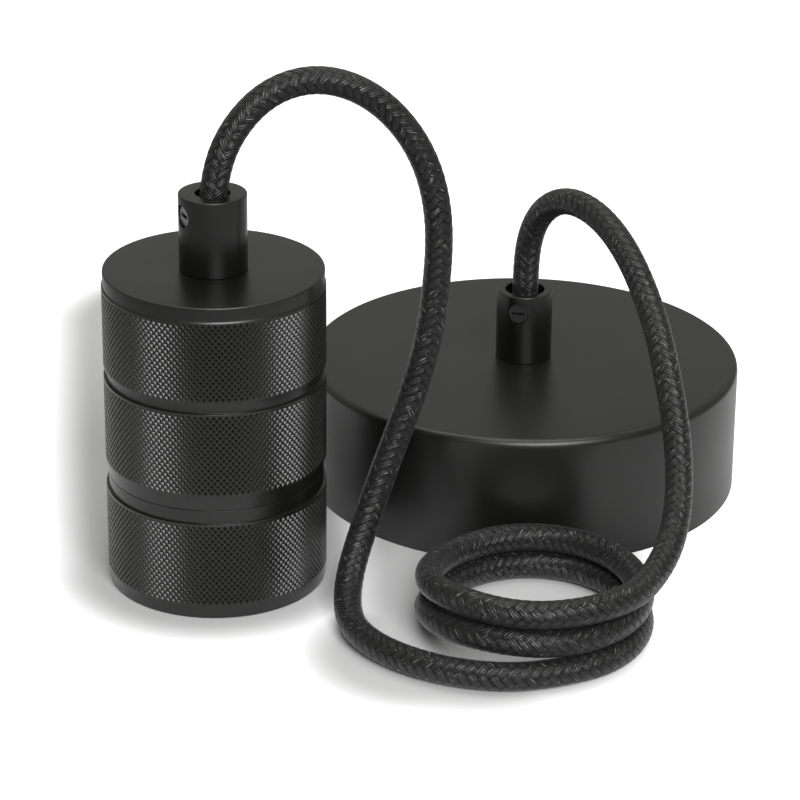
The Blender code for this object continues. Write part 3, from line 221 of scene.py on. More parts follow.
def frames_along(line):
    """Tangents and two normals that don't spin. The normals start from whichever axis the cord crosses
    most squarely, and the turn from each to the next is summed and taken out again."""
    tangent = np.gradient(line, axis=0)
    tangent /= np.linalg.norm(tangent, axis=1, keepdims=True)
    rough = np.cross(tangent, np.eye(3)[np.abs(tangent).argmin(axis=1)])
    rough /= np.linalg.norm(rough, axis=1, keepdims=True)
    other = np.cross(tangent, rough)
    aside = np.einsum("ij,ij->i", rough[:-1], other[1:])
    ahead = np.einsum("ij,ij->i", rough[:-1], rough[1:])
    turn = np.concatenate([[0], np.cumsum(np.arctan2(aside, ahead))])[:, None]
    return rough * np.cos(turn) + other * np.sin(turn), other * np.cos(turn) - rough * np.sin(turn)


def yarn_height(turns, along):
    """0 to 1: a yarn on top is nearly flat across its width, and dips at both ends of each float."""
    a, b = YARNS_EACH_WAY * turns + along / YARN_RISE, YARNS_EACH_WAY * turns - along / YARN_RISE
    step = np.floor(a) + np.floor(b)
    left_on_top = step % 4 >= 2
    across = np.where(left_on_top, a % 1, b % 1)
    lengthwise = (step % 2 + np.where(left_on_top, b % 1, a % 1)) / 2
    return np.sin(np.pi * across) ** 0.35 * (0.55 + 0.45 * np.sin(np.pi * lengthwise))


turns_round = np.arange(CORD_COLUMNS)[None, :] / CORD_COLUMNS
first_normal, second_normal = frames_along(cord_line)
lift = yarn_height(turns_round, cord_places[:, None])
radii = YARN_CREST - YARN_RELIEF * (1 - lift)
angle = 2 * np.pi * turns_round[..., None]
spokes = first_normal[:, None] * np.cos(angle) + second_normal[:, None] * np.sin(angle)
cord = round_piece("cord", cord_line[:, None] + radii[..., None] * spokes, joined_ends=False)

quads = grid_quads(len(cord_line), CORD_COLUMNS, False)
row_of_corner, column_of_corner = np.divmod(quads, CORD_COLUMNS)
column_of_corner[:, 1:3] = column_of_corner[:, [0, 3]] + 1
yarns_round = YARNS_EACH_WAY * column_of_corner / CORD_COLUMNS
yarns_along = cord_places[row_of_corner] / YARN_RISE
rulers = np.stack([yarns_round + yarns_along, yarns_round - yarns_along], axis=-1).reshape(-1, 2)
at_the_ends = np.zeros((2 * CORD_COLUMNS, 2))
braid_map = cord.data.uv_layers.new(name="braid")
corner_of_loop = np.empty(len(cord.data.loops), np.int32)
cord.data.loops.foreach_get("vertex_index", corner_of_loop)
last_row = corner_of_loop.max() + 1 - CORD_COLUMNS
expected = np.append(quads.ravel(), [*range(CORD_COLUMNS)[::-1], *range(last_row, last_row + CORD_COLUMNS)])
if (corner_of_loop != expected).any():
    raise RuntimeError("the cord's faces were flipped, so its UV corners are in another order")
braid_map.uv.foreach_set("vector", np.vstack([rulers, at_the_ends]).astype(np.float32).ravel())

# The lift is kept as an attribute too: the shader uses it as the mask of its painted shade in the gaps.
cord.data.attributes.new("yarn_lift", "FLOAT", "POINT").data.foreach_set("value", lift.ravel())
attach(cord, "root")
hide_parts("cord_to_holder", "cord_coil", "cord_to_rose")

# %% [markdown]
# ## Colours and nodes
#
# A colour is chosen on a screen as sRGB hex, but light adds up in linear numbers, so one function turns
# the first into the second. Each material starts from the same small start: a Principled shader with the
# typical numbers of its real finish. One more function adds a node with its settings and its links, which
# keeps every material below short enough to read.

# %% Colour and node helpers
def linear(hex_colour):
    """sRGB hex to linear: below 0.04045 a twelfth, and above it a power of 2.4."""
    share = np.array([int(hex_colour[i:i + 2], 16) for i in (0, 2, 4)]) / 255
    return (*np.where(share <= 0.04045, share / 12.92, ((share + 0.055) / 1.055) ** 2.4), 1.0)


def start_material(name, colour, metallic, roughness, shine=0.5):
    """A new material with its Principled shader, ready for its pattern."""
    material = bpy.data.materials.new(name)
    material.use_nodes = True
    material.diffuse_color = linear(colour)
    shader = material.node_tree.nodes["Principled BSDF"]
    shader.inputs["Base Color"].default_value = linear(colour)
    shader.inputs["Metallic"].default_value = metallic
    shader.inputs["Roughness"].default_value = roughness
    shader.inputs["Specular IOR Level"].default_value = shine
    return material, material.node_tree, shader


def add_node(tree, kind, settings=None, inputs=None):
    """One node: its own settings by name, and its inputs by name or place, each a value or a socket."""
    node = tree.nodes.new(kind)
    for name, value in (settings or {}).items():
        setattr(node, name, value)
    for name, value in (inputs or {}).items():
        if isinstance(value, bpy.types.NodeSocket):
            tree.links.new(value, node.inputs[name])
        else:
            node.inputs[name].default_value = value
    return node


def dress(piece, material, *nodes, slot=None):
    """Gives a new piece its finish. Given CAD nodes, it hangs the piece on the root body and hides those
    nodes.
    """
    piece.data.materials.clear()
    piece.data.materials.append(material)
    if nodes:
        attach(piece, "root")
        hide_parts(*nodes)


# %% [markdown]
# ## Black cotton braid
#
# The cord's sleeve is plaited from dull black cotton. Dye never takes evenly, so some yarns are a little
# greyer, and short pale fibres stand out here and there and catch the light. In the gaps between yarns the
# colour is darkened as painted shade, and the specular level falls to nothing there, a painted shade on
# the gloss, so that only a raised yarn shows a little gloss. The shader repeats the two slanted rulers of
# the mesh with Math nodes, to find the yarn on top. Three strands lie side by side in it, as a wave across
# its width, and a stretched noise runs along it, so that the fibres follow the plait. The wave node counts
# 20 radians for each unit of its scale.

# %% Cotton braid: the yarn on top
braid, tree, shader = start_material("cotton braid, black", "1a1a1a", 0.0, 0.34)
shader.inputs["Sheen Weight"].default_value = 0.05
rulers_a_b = add_node(tree, "ShaderNodeUVMap", {"uv_map": "braid"}).outputs[0]
floors = add_node(tree, "ShaderNodeVectorMath", {"operation": "FLOOR"}, {0: rulers_a_b})
floor_of = add_node(tree, "ShaderNodeSeparateXYZ", None, {0: floors.outputs[0]})
step = add_node(tree, "ShaderNodeMath", {"operation": "ADD"},
                {0: floor_of.outputs[0], 1: floor_of.outputs[1]})
phase = add_node(tree, "ShaderNodeMath", {"operation": "FLOORED_MODULO"}, {0: step.outputs[0], 1: 4.0})
a_on_top = add_node(tree, "ShaderNodeMath", {"operation": "GREATER_THAN"}, {0: phase.outputs[0], 1: 1.5})
turned = add_node(tree, "ShaderNodeMapping", None,
                  {"Vector": rulers_a_b, "Location": (0, 0, 40), "Rotation": (0, 0, math.pi / 2)})
yarn_on_top = add_node(tree, "ShaderNodeMix", {"data_type": "VECTOR"},
                       {0: a_on_top.outputs[0], 4: turned.outputs[0], 5: rulers_a_b})
print(braid.name, "nodes so far:", len(tree.nodes))

# %% Cotton braid: strands, fibres, gloss and painted shade
STRANDS_IN_A_YARN = 3
drawn_out = add_node(tree, "ShaderNodeMapping", None,
                     {"Vector": yarn_on_top.outputs[1], "Scale": (4.5, 0.8, 1.0)})
bundles = add_node(tree, "ShaderNodeTexNoise", None,
                   {"Vector": drawn_out.outputs[0], "Scale": 1.0, "Detail": 1.0})
strands = add_node(tree, "ShaderNodeTexWave", {"bands_direction": "X"},
                   {"Vector": yarn_on_top.outputs[1], "Scale": math.tau * STRANDS_IN_A_YARN / 20,
                    "Distortion": 2.5, "Detail": 1.0, "Detail Scale": 1.5})
hair_place = add_node(tree, "ShaderNodeMapping", None,
                      {"Vector": yarn_on_top.outputs[1], "Scale": (8.0, 0.6, 1.0)})
hairs = add_node(tree, "ShaderNodeTexNoise", None,
                 {"Vector": hair_place.outputs[0], "Scale": 1.0, "Detail": 0.0})
stray = add_node(tree, "ShaderNodeMapRange", None,
                 {"Value": hairs.outputs[0], "From Min": 0.735, "From Max": 0.785})
yarn_lift = add_node(tree, "ShaderNodeAttribute", {"attribute_name": "yarn_lift"})
# The yarn's lift as a 0 to 1 mask: 0 marks the gaps between yarns, where shade is painted.
lit = add_node(tree, "ShaderNodeMapRange", None,
               {"Value": yarn_lift.outputs["Fac"], "From Min": 0.2, "From Max": 0.8})
# Painted shade on the gloss: the specular level falls to nothing in the gaps between yarns.
gloss = add_node(tree, "ShaderNodeMath", {"operation": "MULTIPLY"}, {0: lit.outputs[0], 1: 0.36})
tree.links.new(gloss.outputs[0], shader.inputs["Specular IOR Level"])
dye = add_node(tree, "ShaderNodeMix", {"data_type": "RGBA"},
               {0: bundles.outputs[0], 6: linear("131313"), 7: linear("202020")})
# Painted shade: the colour darkens to 121212 in the gaps between yarns.
shaded = add_node(tree, "ShaderNodeMix", {"data_type": "RGBA"},
                  {0: lit.outputs[0], 6: linear("121212"), 7: dye.outputs[2]})
haired = add_node(tree, "ShaderNodeMix", {"data_type": "RGBA"},
                  {0: stray.outputs[0], 6: shaded.outputs[2], 7: linear("7a7a78")})
tree.links.new(haired.outputs[2], shader.inputs["Base Color"])
relief = add_node(tree, "ShaderNodeMath", {"operation": "MULTIPLY_ADD"},
                  {0: bundles.outputs[0], 1: 1.5, 2: strands.outputs["Fac"]})
bump = add_node(tree, "ShaderNodeBump", None,
                {"Strength": 1.0, "Distance": 0.075 * MM, "Height": relief.outputs[0]})
tree.links.new(bump.outputs[0], shader.inputs["Normal"])
dress(cord, braid)
print(braid.name, "nodes:", len(tree.nodes))

# %% [markdown]
# ## Round pieces from an outline
#
# A turned piece is an outline of radius and height, carried round its axis. Real edges are never
# sharp: a tool leaves a small radius that shows as a thin bright line. So each corner of the outline is
# replaced by a short curve first. The curve is a quadratic one, pulled towards the old corner.

# %% Outline and turning helpers
def soften(corners, steps=6):
    """A closed outline. Corner i, of radius, height and edge, starts and ends that edge away from itself:
    (1-t)^2 start + 2t(1-t) corner + t^2 end. Any further numbers of a corner go to all its points."""
    corners = np.array(corners, float)
    places, edges = corners[:, :2], corners[:, 2:3]
    before, after = np.roll(places, 1, axis=0) - places, np.roll(places, -1, axis=0) - places
    start = places + edges * before / np.linalg.norm(before, axis=1, keepdims=True)
    end = places + edges * after / np.linalg.norm(after, axis=1, keepdims=True)
    t = np.linspace(0, 1, steps)[None, :, None]
    curve = (1 - t) ** 2 * start[:, None] + 2 * t * (1 - t) * places[:, None] + t ** 2 * end[:, None]
    outline = np.hstack([curve.reshape(-1, 2), np.repeat(corners[:, 3:], steps, axis=0)])
    apart = np.linalg.norm(outline[:, :2] - np.roll(outline[:, :2], 1, axis=0), axis=1) > 1e-4
    return outline[apart]


def turned_points(outline, columns, axis):
    """Point (i, j): outline point i, in millimetres, at angle 2 pi j / columns round a vertical axis."""
    around = 2 * np.pi * np.arange(columns) / columns
    radius, height = outline[:, :1] * MM, outline[:, 1:2] * MM
    flat = np.stack([radius * np.cos(around), radius * np.sin(around), height + 0 * around], axis=-1)
    return flat + axis


def crisp(piece, degrees=32):
    """Smooth shading that stops at edges sharper than this."""
    piece.data.set_sharp_from_angle(angle=math.radians(degrees))


# %% [markdown]
# ## Satin black finishes
#
# The rose is steel with a black powder coat, baked to a satin skin with the faintest orange peel. The
# holder and the grips are aluminium, turned, blasted with fine grit and anodised black. Both are dark
# enough that most of what the eye sees is reflection: little at a square view, much more at a grazing
# one. So the colour is nearly black, and a low specular level keeps the square view dark.

# %% Powder coat and anodised aluminium
def satin_black(name, colour, roughness, grain, grain_depth, shine):
    """A dark dielectric skin. A fine noise bumps it, and a broad one varies its roughness a little."""
    material, tree, shader = start_material(name, colour, 0.0, roughness, shine)
    where = add_node(tree, "ShaderNodeTexCoord").outputs["Object"]
    fine = add_node(tree, "ShaderNodeTexNoise", None, {"Vector": where, "Scale": 1 / grain, "Detail": 2.0})
    broad = add_node(tree, "ShaderNodeTexNoise", None,
                     {"Vector": where, "Scale": 1 / (12 * MM), "Detail": 3.0})
    gloss = add_node(tree, "ShaderNodeMapRange", None,
                     {"Value": broad.outputs[0], "To Min": roughness - 0.03, "To Max": roughness + 0.03})
    bump = add_node(tree, "ShaderNodeBump", None,
                    {"Strength": 1.0, "Distance": grain_depth, "Height": fine.outputs[0]})
    tree.links.new(gloss.outputs[0], shader.inputs["Roughness"])
    tree.links.new(bump.outputs[0], shader.inputs["Normal"])
    print(name, "grain in mm:", grain / MM)
    return material


powder_coat = satin_black("powder coated steel, satin black", "10100f", 0.35, 0.55 * MM, 0.003 * MM, 0.5)
anodised = satin_black("anodised aluminium, black", "0b0b0a", 0.31, 0.25 * MM, 0.002 * MM, 0.5)

# %% [markdown]
# ## The ceiling rose
#
# The rose is deep drawn from 1 mm steel: a flat top, a rounded edge, and a straight wall that ends in a
# bare rim. A hole in its top takes the cord grip, and two in its wall take the side screws. Holes are cut
# with a Boolean modifier, whose cutter is taken away again once the result is kept.

# %% The rose's cup
NIPPLE_HOLE = 5.3
ROSE_RADIUS, ROSE_HEIGHT, ROSE_WALL = 50, 30, 1
SIDE_SCREW_HEIGHT, SIDE_HOLE_RADIUS = 6, 2.3


def cutter_rod(radius, start, end):
    """A plain rod between two points, to cut a hole with. Its columns stand on two rings."""
    start, end = Vector(start), Vector(end)
    turn = np.array((end - start).to_track_quat("Z", "Y").to_matrix())
    around = 2 * np.pi * np.arange(64) / 64
    ring = np.stack([radius * np.cos(around), radius * np.sin(around), 0 * around], axis=-1) @ turn.T
    return round_piece("cutter", np.stack([ring + start, ring + end]), joined_ends=False)


def cut_away(piece, cutter):
    """Keeps what is outside the cutter, then removes the cutter."""
    modifier = piece.modifiers.new("cut", "BOOLEAN")
    modifier.operation, modifier.object, modifier.solver = "DIFFERENCE", cutter, "EXACT"
    seen = piece.evaluated_get(bpy.context.evaluated_depsgraph_get())
    cut_mesh = bpy.data.meshes.new_from_object(seen)
    piece.modifiers.clear()
    piece.data = cut_mesh
    bpy.data.objects.remove(cutter)


bore, ceiling = ROSE_RADIUS - ROSE_WALL, ROSE_HEIGHT - ROSE_WALL
rose_outline = soften([
    (NIPPLE_HOLE, ROSE_HEIGHT, 0.15), (ROSE_RADIUS, ROSE_HEIGHT, 2.0), (ROSE_RADIUS, 0, 0.25),
    (bore, 0, 0.25), (bore, ceiling, 1.0), (NIPPLE_HOLE, ceiling, 0.15)], 9)
rose_cup = round_piece("rose_cup_pressed", turned_points(rose_outline, 256, ROSE_AXIS))
for side in (-1, 1):
    wall = ROSE_AXIS + np.array([0, side * (ROSE_RADIUS - 5), SIDE_SCREW_HEIGHT]) * MM
    cut_away(rose_cup, cutter_rod(SIDE_HOLE_RADIUS * MM, wall, wall + np.array([0, side * 10, 0]) * MM))
crisp(rose_cup)
dress(rose_cup, powder_coat, "rose_cup", slot="black_steel")

# %% [markdown]
# ## The knurled shells
#
# Knurling is rolled into a turning shell by two hardened wheels with slanted teeth. They leave a lattice
# of thin crossed ridges with a small four-sided pit in each diamond. On a grid whose rows and columns are
# half a diamond apart, the ridges cross where row plus column is even, and the pits have their bottoms
# where it is odd. The ridge tops stay flat and catch a grey light, and the pit walls, which slope at 45
# degrees, flash only where they face the lamp. That is why the real part sparkles in two upright stripes.

# %% Knurling helper
KNURL_COLUMNS, KNURL_ROW = 226, 0.757
KNURL_CREST, PIT_DEPTH, RIDGE_SHARE = 24.1, 0.38, 0.21


def knurl_band(low, high):
    """Corners of a band from top to bottom: sharp, at the crest's radius, and marked 1."""
    heights = np.linspace(high, low, round((high - low) / KNURL_ROW) + 1)
    return [(KNURL_CREST, height, 0, 1) for height in heights]


def knurl_faces(rows_in_band, corner, beside, below):
    """Each cell between two band rows is halved along its ridge. A half is a flat strip beside the ridge
    and a triangle down to its pit. corner, beside and below number the points at a cell's corner, on its
    edge to the next column, and on its edge to the next row."""
    i, j = rows_in_band[:, None], np.arange(KNURL_COLUMNS)[None, :]
    right = (j + 1) % KNURL_COLUMNS
    a, b, c, d = corner[i, j], corner[i, right], corner[i + 1, right], corner[i + 1, j]
    ab, bc, dc, ad = beside[i, j], below[i, right], beside[i + 1, j], below[i, j]
    ridge_at_a = ((i + j) % 2 == 0)[..., None]
    strips = np.where(ridge_at_a, np.stack([a, ab, bc, c, a, c, dc, ad], -1),
                      np.stack([ab, b, d, ad, b, bc, dc, d], -1))
    walls = np.where(ridge_at_a, np.stack([ab, b, bc, dc, d, ad], -1), np.stack([a, ab, ad, bc, c, dc], -1))
    return strips.reshape(-1, 4).tolist() + walls.reshape(-1, 3).tolist()


def knurled_piece(name, corners):
    """A turned piece whose marked rows carry the lattice, and whose other rows are plain."""
    rows = soften(corners)
    rows = np.roll(rows, -np.flatnonzero(rows[:, 2])[0], axis=0)
    band, next_band = rows[:, 2] > 0, np.roll(rows[:, 2], -1) > 0
    count, column = len(rows), np.arange(KNURL_COLUMNS)[None, :]
    points = turned_points(rows, KNURL_COLUMNS, HOLDER_AXIS)
    ridge = (np.arange(count)[:, None] + column) % 2 == 0
    share = np.where(ridge, RIDGE_SHARE, 1 - RIDGE_SHARE)[..., None]
    beside = points + share * (np.roll(points, -1, axis=1) - points)
    below = points + share * (np.roll(points, -1, axis=0) - points)
    around = 2 * np.pi * column / KNURL_COLUMNS
    inwards = -np.stack([np.cos(around), np.sin(around), 0 * around], axis=-1)
    sunk = (band & next_band & np.roll(band, 1))[:, None] & ~ridge
    points = points + sunk[..., None] * inwards * PIT_DEPTH * MM

    corner = np.arange(points.size // 3).reshape(count, KNURL_COLUMNS)
    beside_at = np.where(band, np.cumsum(band) - 1, 0)[:, None] * KNURL_COLUMNS + column + corner.size
    inner = band & next_band
    below_at = np.where(inner, np.cumsum(inner) - 1, 0)[:, None] * KNURL_COLUMNS + column
    below_at = below_at + corner.size + band.sum() * KNURL_COLUMNS
    after, right = np.roll(corner, -1, axis=0), np.roll(corner, -1, axis=1)
    after_right = np.roll(right, -1, axis=0)
    plain = np.stack([corner, right, after_right, after], -1)[~band & ~next_band].reshape(-1, 4)
    above = np.stack([corner, right, after_right, np.roll(beside_at, -1, axis=0), after], -1)
    under = np.stack([corner, beside_at, right, after_right, after], -1)
    smooth = plain.tolist() + above[~band & next_band].reshape(-1, 5).tolist()
    smooth += under[band & ~next_band].reshape(-1, 5).tolist()
    lattice = knurl_faces(np.flatnonzero(inner), corner, beside_at, below_at)
    vertices = np.vstack([points.reshape(-1, 3), beside[band].reshape(-1, 3), below[inner].reshape(-1, 3)])
    piece = solid_piece(name, vertices, smooth + lattice)
    piece.data.polygons.foreach_set("use_smooth", np.arange(len(smooth + lattice)) < len(smooth))
    crisp(piece)
    return piece


# %% [markdown]
# ## The holder's two shells
#
# The upper shell is a cup that stands on its mouth here, so its closed end is on top, with a plain collar
# round it. It has two knurled bands. The lower ring has the third band and screws into the upper shell:
# the parting line shows as a fine circle in the lower groove.

# %% Upper shell and lower ring
TOP, GROOVE, COLLAR, EDGE, CREST = 72.0, 23.5, 23.85, 0.35, KNURL_CREST
UPPER_BORE, UNDER_TOP, UPPER_RIM = 22.3, 70.0, 25.54
upper_corners = [
    (NIPPLE_HOLE, TOP, 0.1, 0), (COLLAR, TOP, EDGE, 0), (COLLAR, 68.95, 0.05, 0), (CREST, 68.62, 0.08, 0),
    *knurl_band(50.6, 68.55),
    (CREST, 50.37, 0.12, 0), (GROOVE, 50.32, 0.1, 0), (GROOVE, 48.1, 0.1, 0), (CREST, 48.05, 0.12, 0),
    *knurl_band(29.0, 47.85), (CREST, 28.8, 0.12, 0), (GROOVE, 28.75, 0.1, 0), (GROOVE, UPPER_RIM, 0.1, 0),
    (UPPER_BORE, UPPER_RIM, 0.05, 0), (UPPER_BORE, UNDER_TOP, 0.3, 0), (NIPPLE_HOLE, UNDER_TOP, 0.1, 0)]
upper_shell = knurled_piece("holder_upper_shell_knurled", upper_corners)
dress(upper_shell, anodised, "holder_upper_shell", slot="black_aluminium")

RING_BORE, SLEEVE, SLEEVE_TOP, RING_SHOULDER = 20.9, 21.9, 33.0, 25.46
MOUTH_LIP, LIP_THICKNESS = 18.6, 1.8
ring_corners = [
    (RING_BORE, SLEEVE_TOP, 0.1, 0), (SLEEVE, SLEEVE_TOP, 0.3, 0), (SLEEVE, RING_SHOULDER, 0.1, 0),
    (GROOVE, RING_SHOULDER, 0.1, 0), (GROOVE, 22.5, 0.08, 0), (CREST, 22.45, 0.12, 0),
    *knurl_band(3.1, 22.25), (CREST, 2.95, 0.1, 0), (COLLAR, 2.85, 0.05, 0), (COLLAR, 0.0, EDGE, 0),
    (MOUTH_LIP, 0.0, 0.3, 0), (MOUTH_LIP, LIP_THICKNESS, 0.2, 0), (RING_BORE, LIP_THICKNESS, 0.1, 0)]
lower_ring = knurled_piece("holder_lower_ring_knurled", ring_corners)
dress(lower_ring, anodised, "holder_lower_ring", slot="black_aluminium")

# %% [markdown]
# ## Cord grips and their screws
#
# A grip is a turned sleeve. The cord passes through it, and a small grub screw in its side holds the
# cord. Its hollow nipple goes through the hole in the shell or the rose, and a nut holds it from inside.
# A grub screw is a short rod with a slot. Its outline starts and ends a hair beside its own axis, where
# flat caps close it. Both screws are turned to look out through the sleeve's side.

# %% Grips
NIPPLE_RADIUS, NIPPLE_BORE = 5.0, 3.35
HOLDER_GRIP = {"seat": 72.04, "radius": 7.35, "mouth_height": HOLDER_MOUTH_HEIGHT, "mouth": 3.75,
               "mouth_floor": 80.0, "nipple_end": 62.0}
ROSE_GRIP = {"seat": 30.04, "radius": 6.45, "mouth_height": 46.5, "mouth": 4.5, "mouth_floor": 37.5,
             "nipple_end": 21.0}
HOLDER_SCREW_HEIGHT, HOLDER_SCREW_TURN = 84.8, 61
ROSE_SCREW_HEIGHT, ROSE_SCREW_TURN = 42.4, 16
SCREW_HOLE_RADIUS = 2.45 * MM
GRUB_RADIUS, GRUB_EDGE, GRUB_TIP_RADIUS, HAIR = 2.35, 0.08, 1.7, 0.02


def grip_piece(name, axis, seat, radius, mouth_height, mouth, mouth_floor, nipple_end):
    """A sleeve outline: mouth, rounded top edge, wall, shoulder, nipple, and the bore back up."""
    outline = soften([
        (mouth, mouth_height, 0.3), (radius, mouth_height, 0.3), (radius, seat, 0.15),
        (NIPPLE_RADIUS, seat, 0.05), (NIPPLE_RADIUS, nipple_end, 0.3), (NIPPLE_BORE, nipple_end, 0.2),
        (NIPPLE_BORE, mouth_floor, 0.2), (mouth, mouth_floor, 0.05)])
    return round_piece(name, turned_points(outline, 128, axis))


def outwards_from(degrees_left_of_front):
    """The level direction that many degrees to the left of the front, as the camera sees it."""
    turn = math.radians(degrees_left_of_front)
    return np.array([-math.sin(turn), -math.cos(turn), 0])


def grub_screw(name, face, towards, slot, tip_distance):
    """A rod from its slotted face inwards. The slot is a box across the face, turned about the screw."""
    slot_length, slot_width, slot_depth, slot_turn = slot
    outline = np.array([(HAIR, 0), (GRUB_RADIUS - GRUB_EDGE, 0), (GRUB_RADIUS, -GRUB_EDGE),
                        (GRUB_RADIUS, -0.7 * tip_distance), (GRUB_TIP_RADIUS, -tip_distance),
                        (HAIR, -tip_distance)])
    points = turned_points(outline, 48, np.zeros(3))
    turn = np.array(Vector(towards).to_track_quat("Z", "Y").to_matrix())
    screw = round_piece(name, points @ turn.T + face, joined_ends=False)
    corner = np.array([(-1, -1), (1, -1), (1, 1), (-1, 1)]) * [slot_length * MM / 2, slot_width * MM / 2]
    spin = np.array([[math.cos(slot_turn), math.sin(slot_turn)], [-math.sin(slot_turn), math.cos(slot_turn)]])
    square = np.hstack([corner @ spin, np.zeros((4, 1))])
    box = np.stack([square - [0, 0, slot_depth * MM], square + [0, 0, MM]]) @ turn.T + face
    cut_away(screw, round_piece("slot cutter", box, joined_ends=False))
    crisp(screw, 25)
    return screw


for name, axis, sizes, screw_height, screw_turn in (
        ("holder_grip", HOLDER_AXIS, HOLDER_GRIP, HOLDER_SCREW_HEIGHT, HOLDER_SCREW_TURN),
        ("rose_grip", ROSE_AXIS, ROSE_GRIP, ROSE_SCREW_HEIGHT, ROSE_SCREW_TURN)):
    grip = grip_piece(name + "_turned", axis, **sizes)
    middle = axis + np.array([0, 0, screw_height]) * MM
    cut_away(grip, cutter_rod(SCREW_HOLE_RADIUS, middle, middle + outwards_from(screw_turn) * 20 * MM))
    crisp(grip)
    dress(grip, anodised, name, slot="black_aluminium")

# %% [markdown]
# ## Screws that show
#
# The holder's grub screw is left bright, which shows as a small silver disc. The rose's is blackened, as
# are the two pan head screws in the rose's side. Zinc plate and blackened steel are both metals: what
# differs is the colour of their reflection.

# %% Metal finishes
def worked_metal(name, colour, roughness, streak):
    """A metal whose roughness varies with a fine noise, as plating and wear leave it."""
    material, tree, shader = start_material(name, colour, 1.0, roughness)
    where = add_node(tree, "ShaderNodeTexCoord").outputs["Object"]
    fine = add_node(tree, "ShaderNodeTexNoise", None, {"Vector": where, "Scale": 1 / streak, "Detail": 4.0})
    gloss = add_node(tree, "ShaderNodeMapRange", None,
                     {"Value": fine.outputs[0], "To Min": roughness - 0.08, "To Max": roughness + 0.08})
    bump = add_node(tree, "ShaderNodeBump", None,
                    {"Strength": 0.4, "Distance": 0.01 * MM, "Height": fine.outputs[0]})
    tree.links.new(gloss.outputs[0], shader.inputs["Roughness"])
    tree.links.new(bump.outputs[0], shader.inputs["Normal"])
    return material


zinc_plate = worked_metal("zinc plated steel", "989a9b", 0.36, 0.8 * MM)
nickel_plate = worked_metal("nickel plated brass", "c2bba6", 0.28, 0.6 * MM)
blackened = worked_metal("blackened steel", "525252", 0.5, 0.8 * MM)
print("metals:", zinc_plate.name, "|", nickel_plate.name, "|", blackened.name)

# %% Grub screws
CORD_SIDE = 3.6
HOLDER_FACE_DISTANCE, ROSE_FACE_DISTANCE = 6.67, 5.87
HOLDER_SLOT, ROSE_SLOT = (2.7, 0.95, 1.3, math.radians(-8)), (3.1, 0.6, 0.8, 0.0)
for name, axis, screw_height, screw_turn, face_distance, slot, material, slot_name in (
        ("holder_grip_screw", HOLDER_AXIS, HOLDER_SCREW_HEIGHT, HOLDER_SCREW_TURN, HOLDER_FACE_DISTANCE,
         HOLDER_SLOT, zinc_plate, "zinc_steel"),
        ("rose_grip_screw", ROSE_AXIS, ROSE_SCREW_HEIGHT, ROSE_SCREW_TURN, ROSE_FACE_DISTANCE,
         ROSE_SLOT, blackened, "black_screw")):
    towards = outwards_from(screw_turn)
    face = axis + np.array([0, 0, screw_height]) * MM + towards * face_distance * MM
    screw = grub_screw(name + "_slotted", face, towards, slot, face_distance - CORD_SIDE)
    dress(screw, material, name, slot=slot_name)


# %% [markdown]
# ## The lamp's threaded shell
#
# The shell is thin nickel plated brass, pressed into the round thread of a 27 mm lamp cap. A round thread
# is a cosine wave on a helix: going once round moves the wave along by one pitch. The wave fades out
# near the flange and the mouth. An inner and an outer sheet of points, one wall apart, close into one skin.

# %% Threaded shell
THREAD_PITCH, THREAD_RADIUS, THREAD_WAVE, SHELL_WALL = 3.63, 13.0, 0.45, 0.6


def thread_points(extra, heights, columns=96):
    """Radius 13 + extra + 0.45 cos(2 pi (height / pitch - turns)), with the wave fading at both ends."""
    turns = np.arange(columns) / columns
    fade = np.clip((heights - heights.min()) / 2, 0, 1) * np.clip((heights.max() - heights) / 2, 0, 1)
    wave = np.cos(2 * np.pi * (heights[:, None] / THREAD_PITCH - turns[None, :]))
    radius = (THREAD_RADIUS + extra + THREAD_WAVE * fade[:, None] * wave) * MM
    around = 2 * np.pi * turns[None, :]
    return np.stack([radius * np.cos(around), radius * np.sin(around),
                     np.broadcast_to(heights[:, None] * MM, radius.shape)], axis=-1)


thread_heights = np.linspace(4.05, 26.4, 110)
FLANGE_HOLE, FLANGE_UNDER, FLANGE_TOP = 9.2, 27.1, 27.7
flange = np.array([[THREAD_RADIUS - SHELL_WALL / 2, FLANGE_UNDER], [FLANGE_HOLE, FLANGE_UNDER],
                   [FLANGE_HOLE, FLANGE_TOP], [12.9, FLANGE_TOP], [13.3, 27.3]])
shell_points = np.vstack([
    thread_points(-SHELL_WALL / 2, thread_heights) + HOLDER_AXIS,
    turned_points(flange, 96, HOLDER_AXIS),
    thread_points(SHELL_WALL / 2, thread_heights)[::-1] + HOLDER_AXIS])
threaded_shell = round_piece("screw_shell_threaded", shell_points)
crisp(threaded_shell, 40)
dress(threaded_shell, nickel_plate, "screw_shell", slot="nickel_brass")

# %% [markdown]
# ## The pieces inside
#
# Everything else keeps its CAD mesh, because its shape is right already, and gets its real finish: glazed
# ceramic for the insert and the terminal block, zinc plate for the bracket, nuts and screws, nickel plated
# brass for what carries current, and plastic insulation for the cord's three cores.

# %% Ceramic and insulation
def smooth_skin(name, colour, other, roughness, spot):
    """A glossy or moulded skin with a slight change of colour in soft spots."""
    material, tree, shader = start_material(name, colour, 0.0, roughness)
    where = add_node(tree, "ShaderNodeTexCoord").outputs["Object"]
    spots = add_node(tree, "ShaderNodeTexNoise", None, {"Vector": where, "Scale": 1 / spot, "Detail": 3.0})
    tint = add_node(tree, "ShaderNodeMix", {"data_type": "RGBA"},
                    {0: spots.outputs[0], 6: linear(colour), 7: linear(other)})
    bump = add_node(tree, "ShaderNodeBump", None,
                    {"Strength": 0.3, "Distance": 0.02 * MM, "Height": spots.outputs[0]})
    tree.links.new(tint.outputs[2], shader.inputs["Base Color"])
    tree.links.new(bump.outputs[0], shader.inputs["Normal"])
    return material


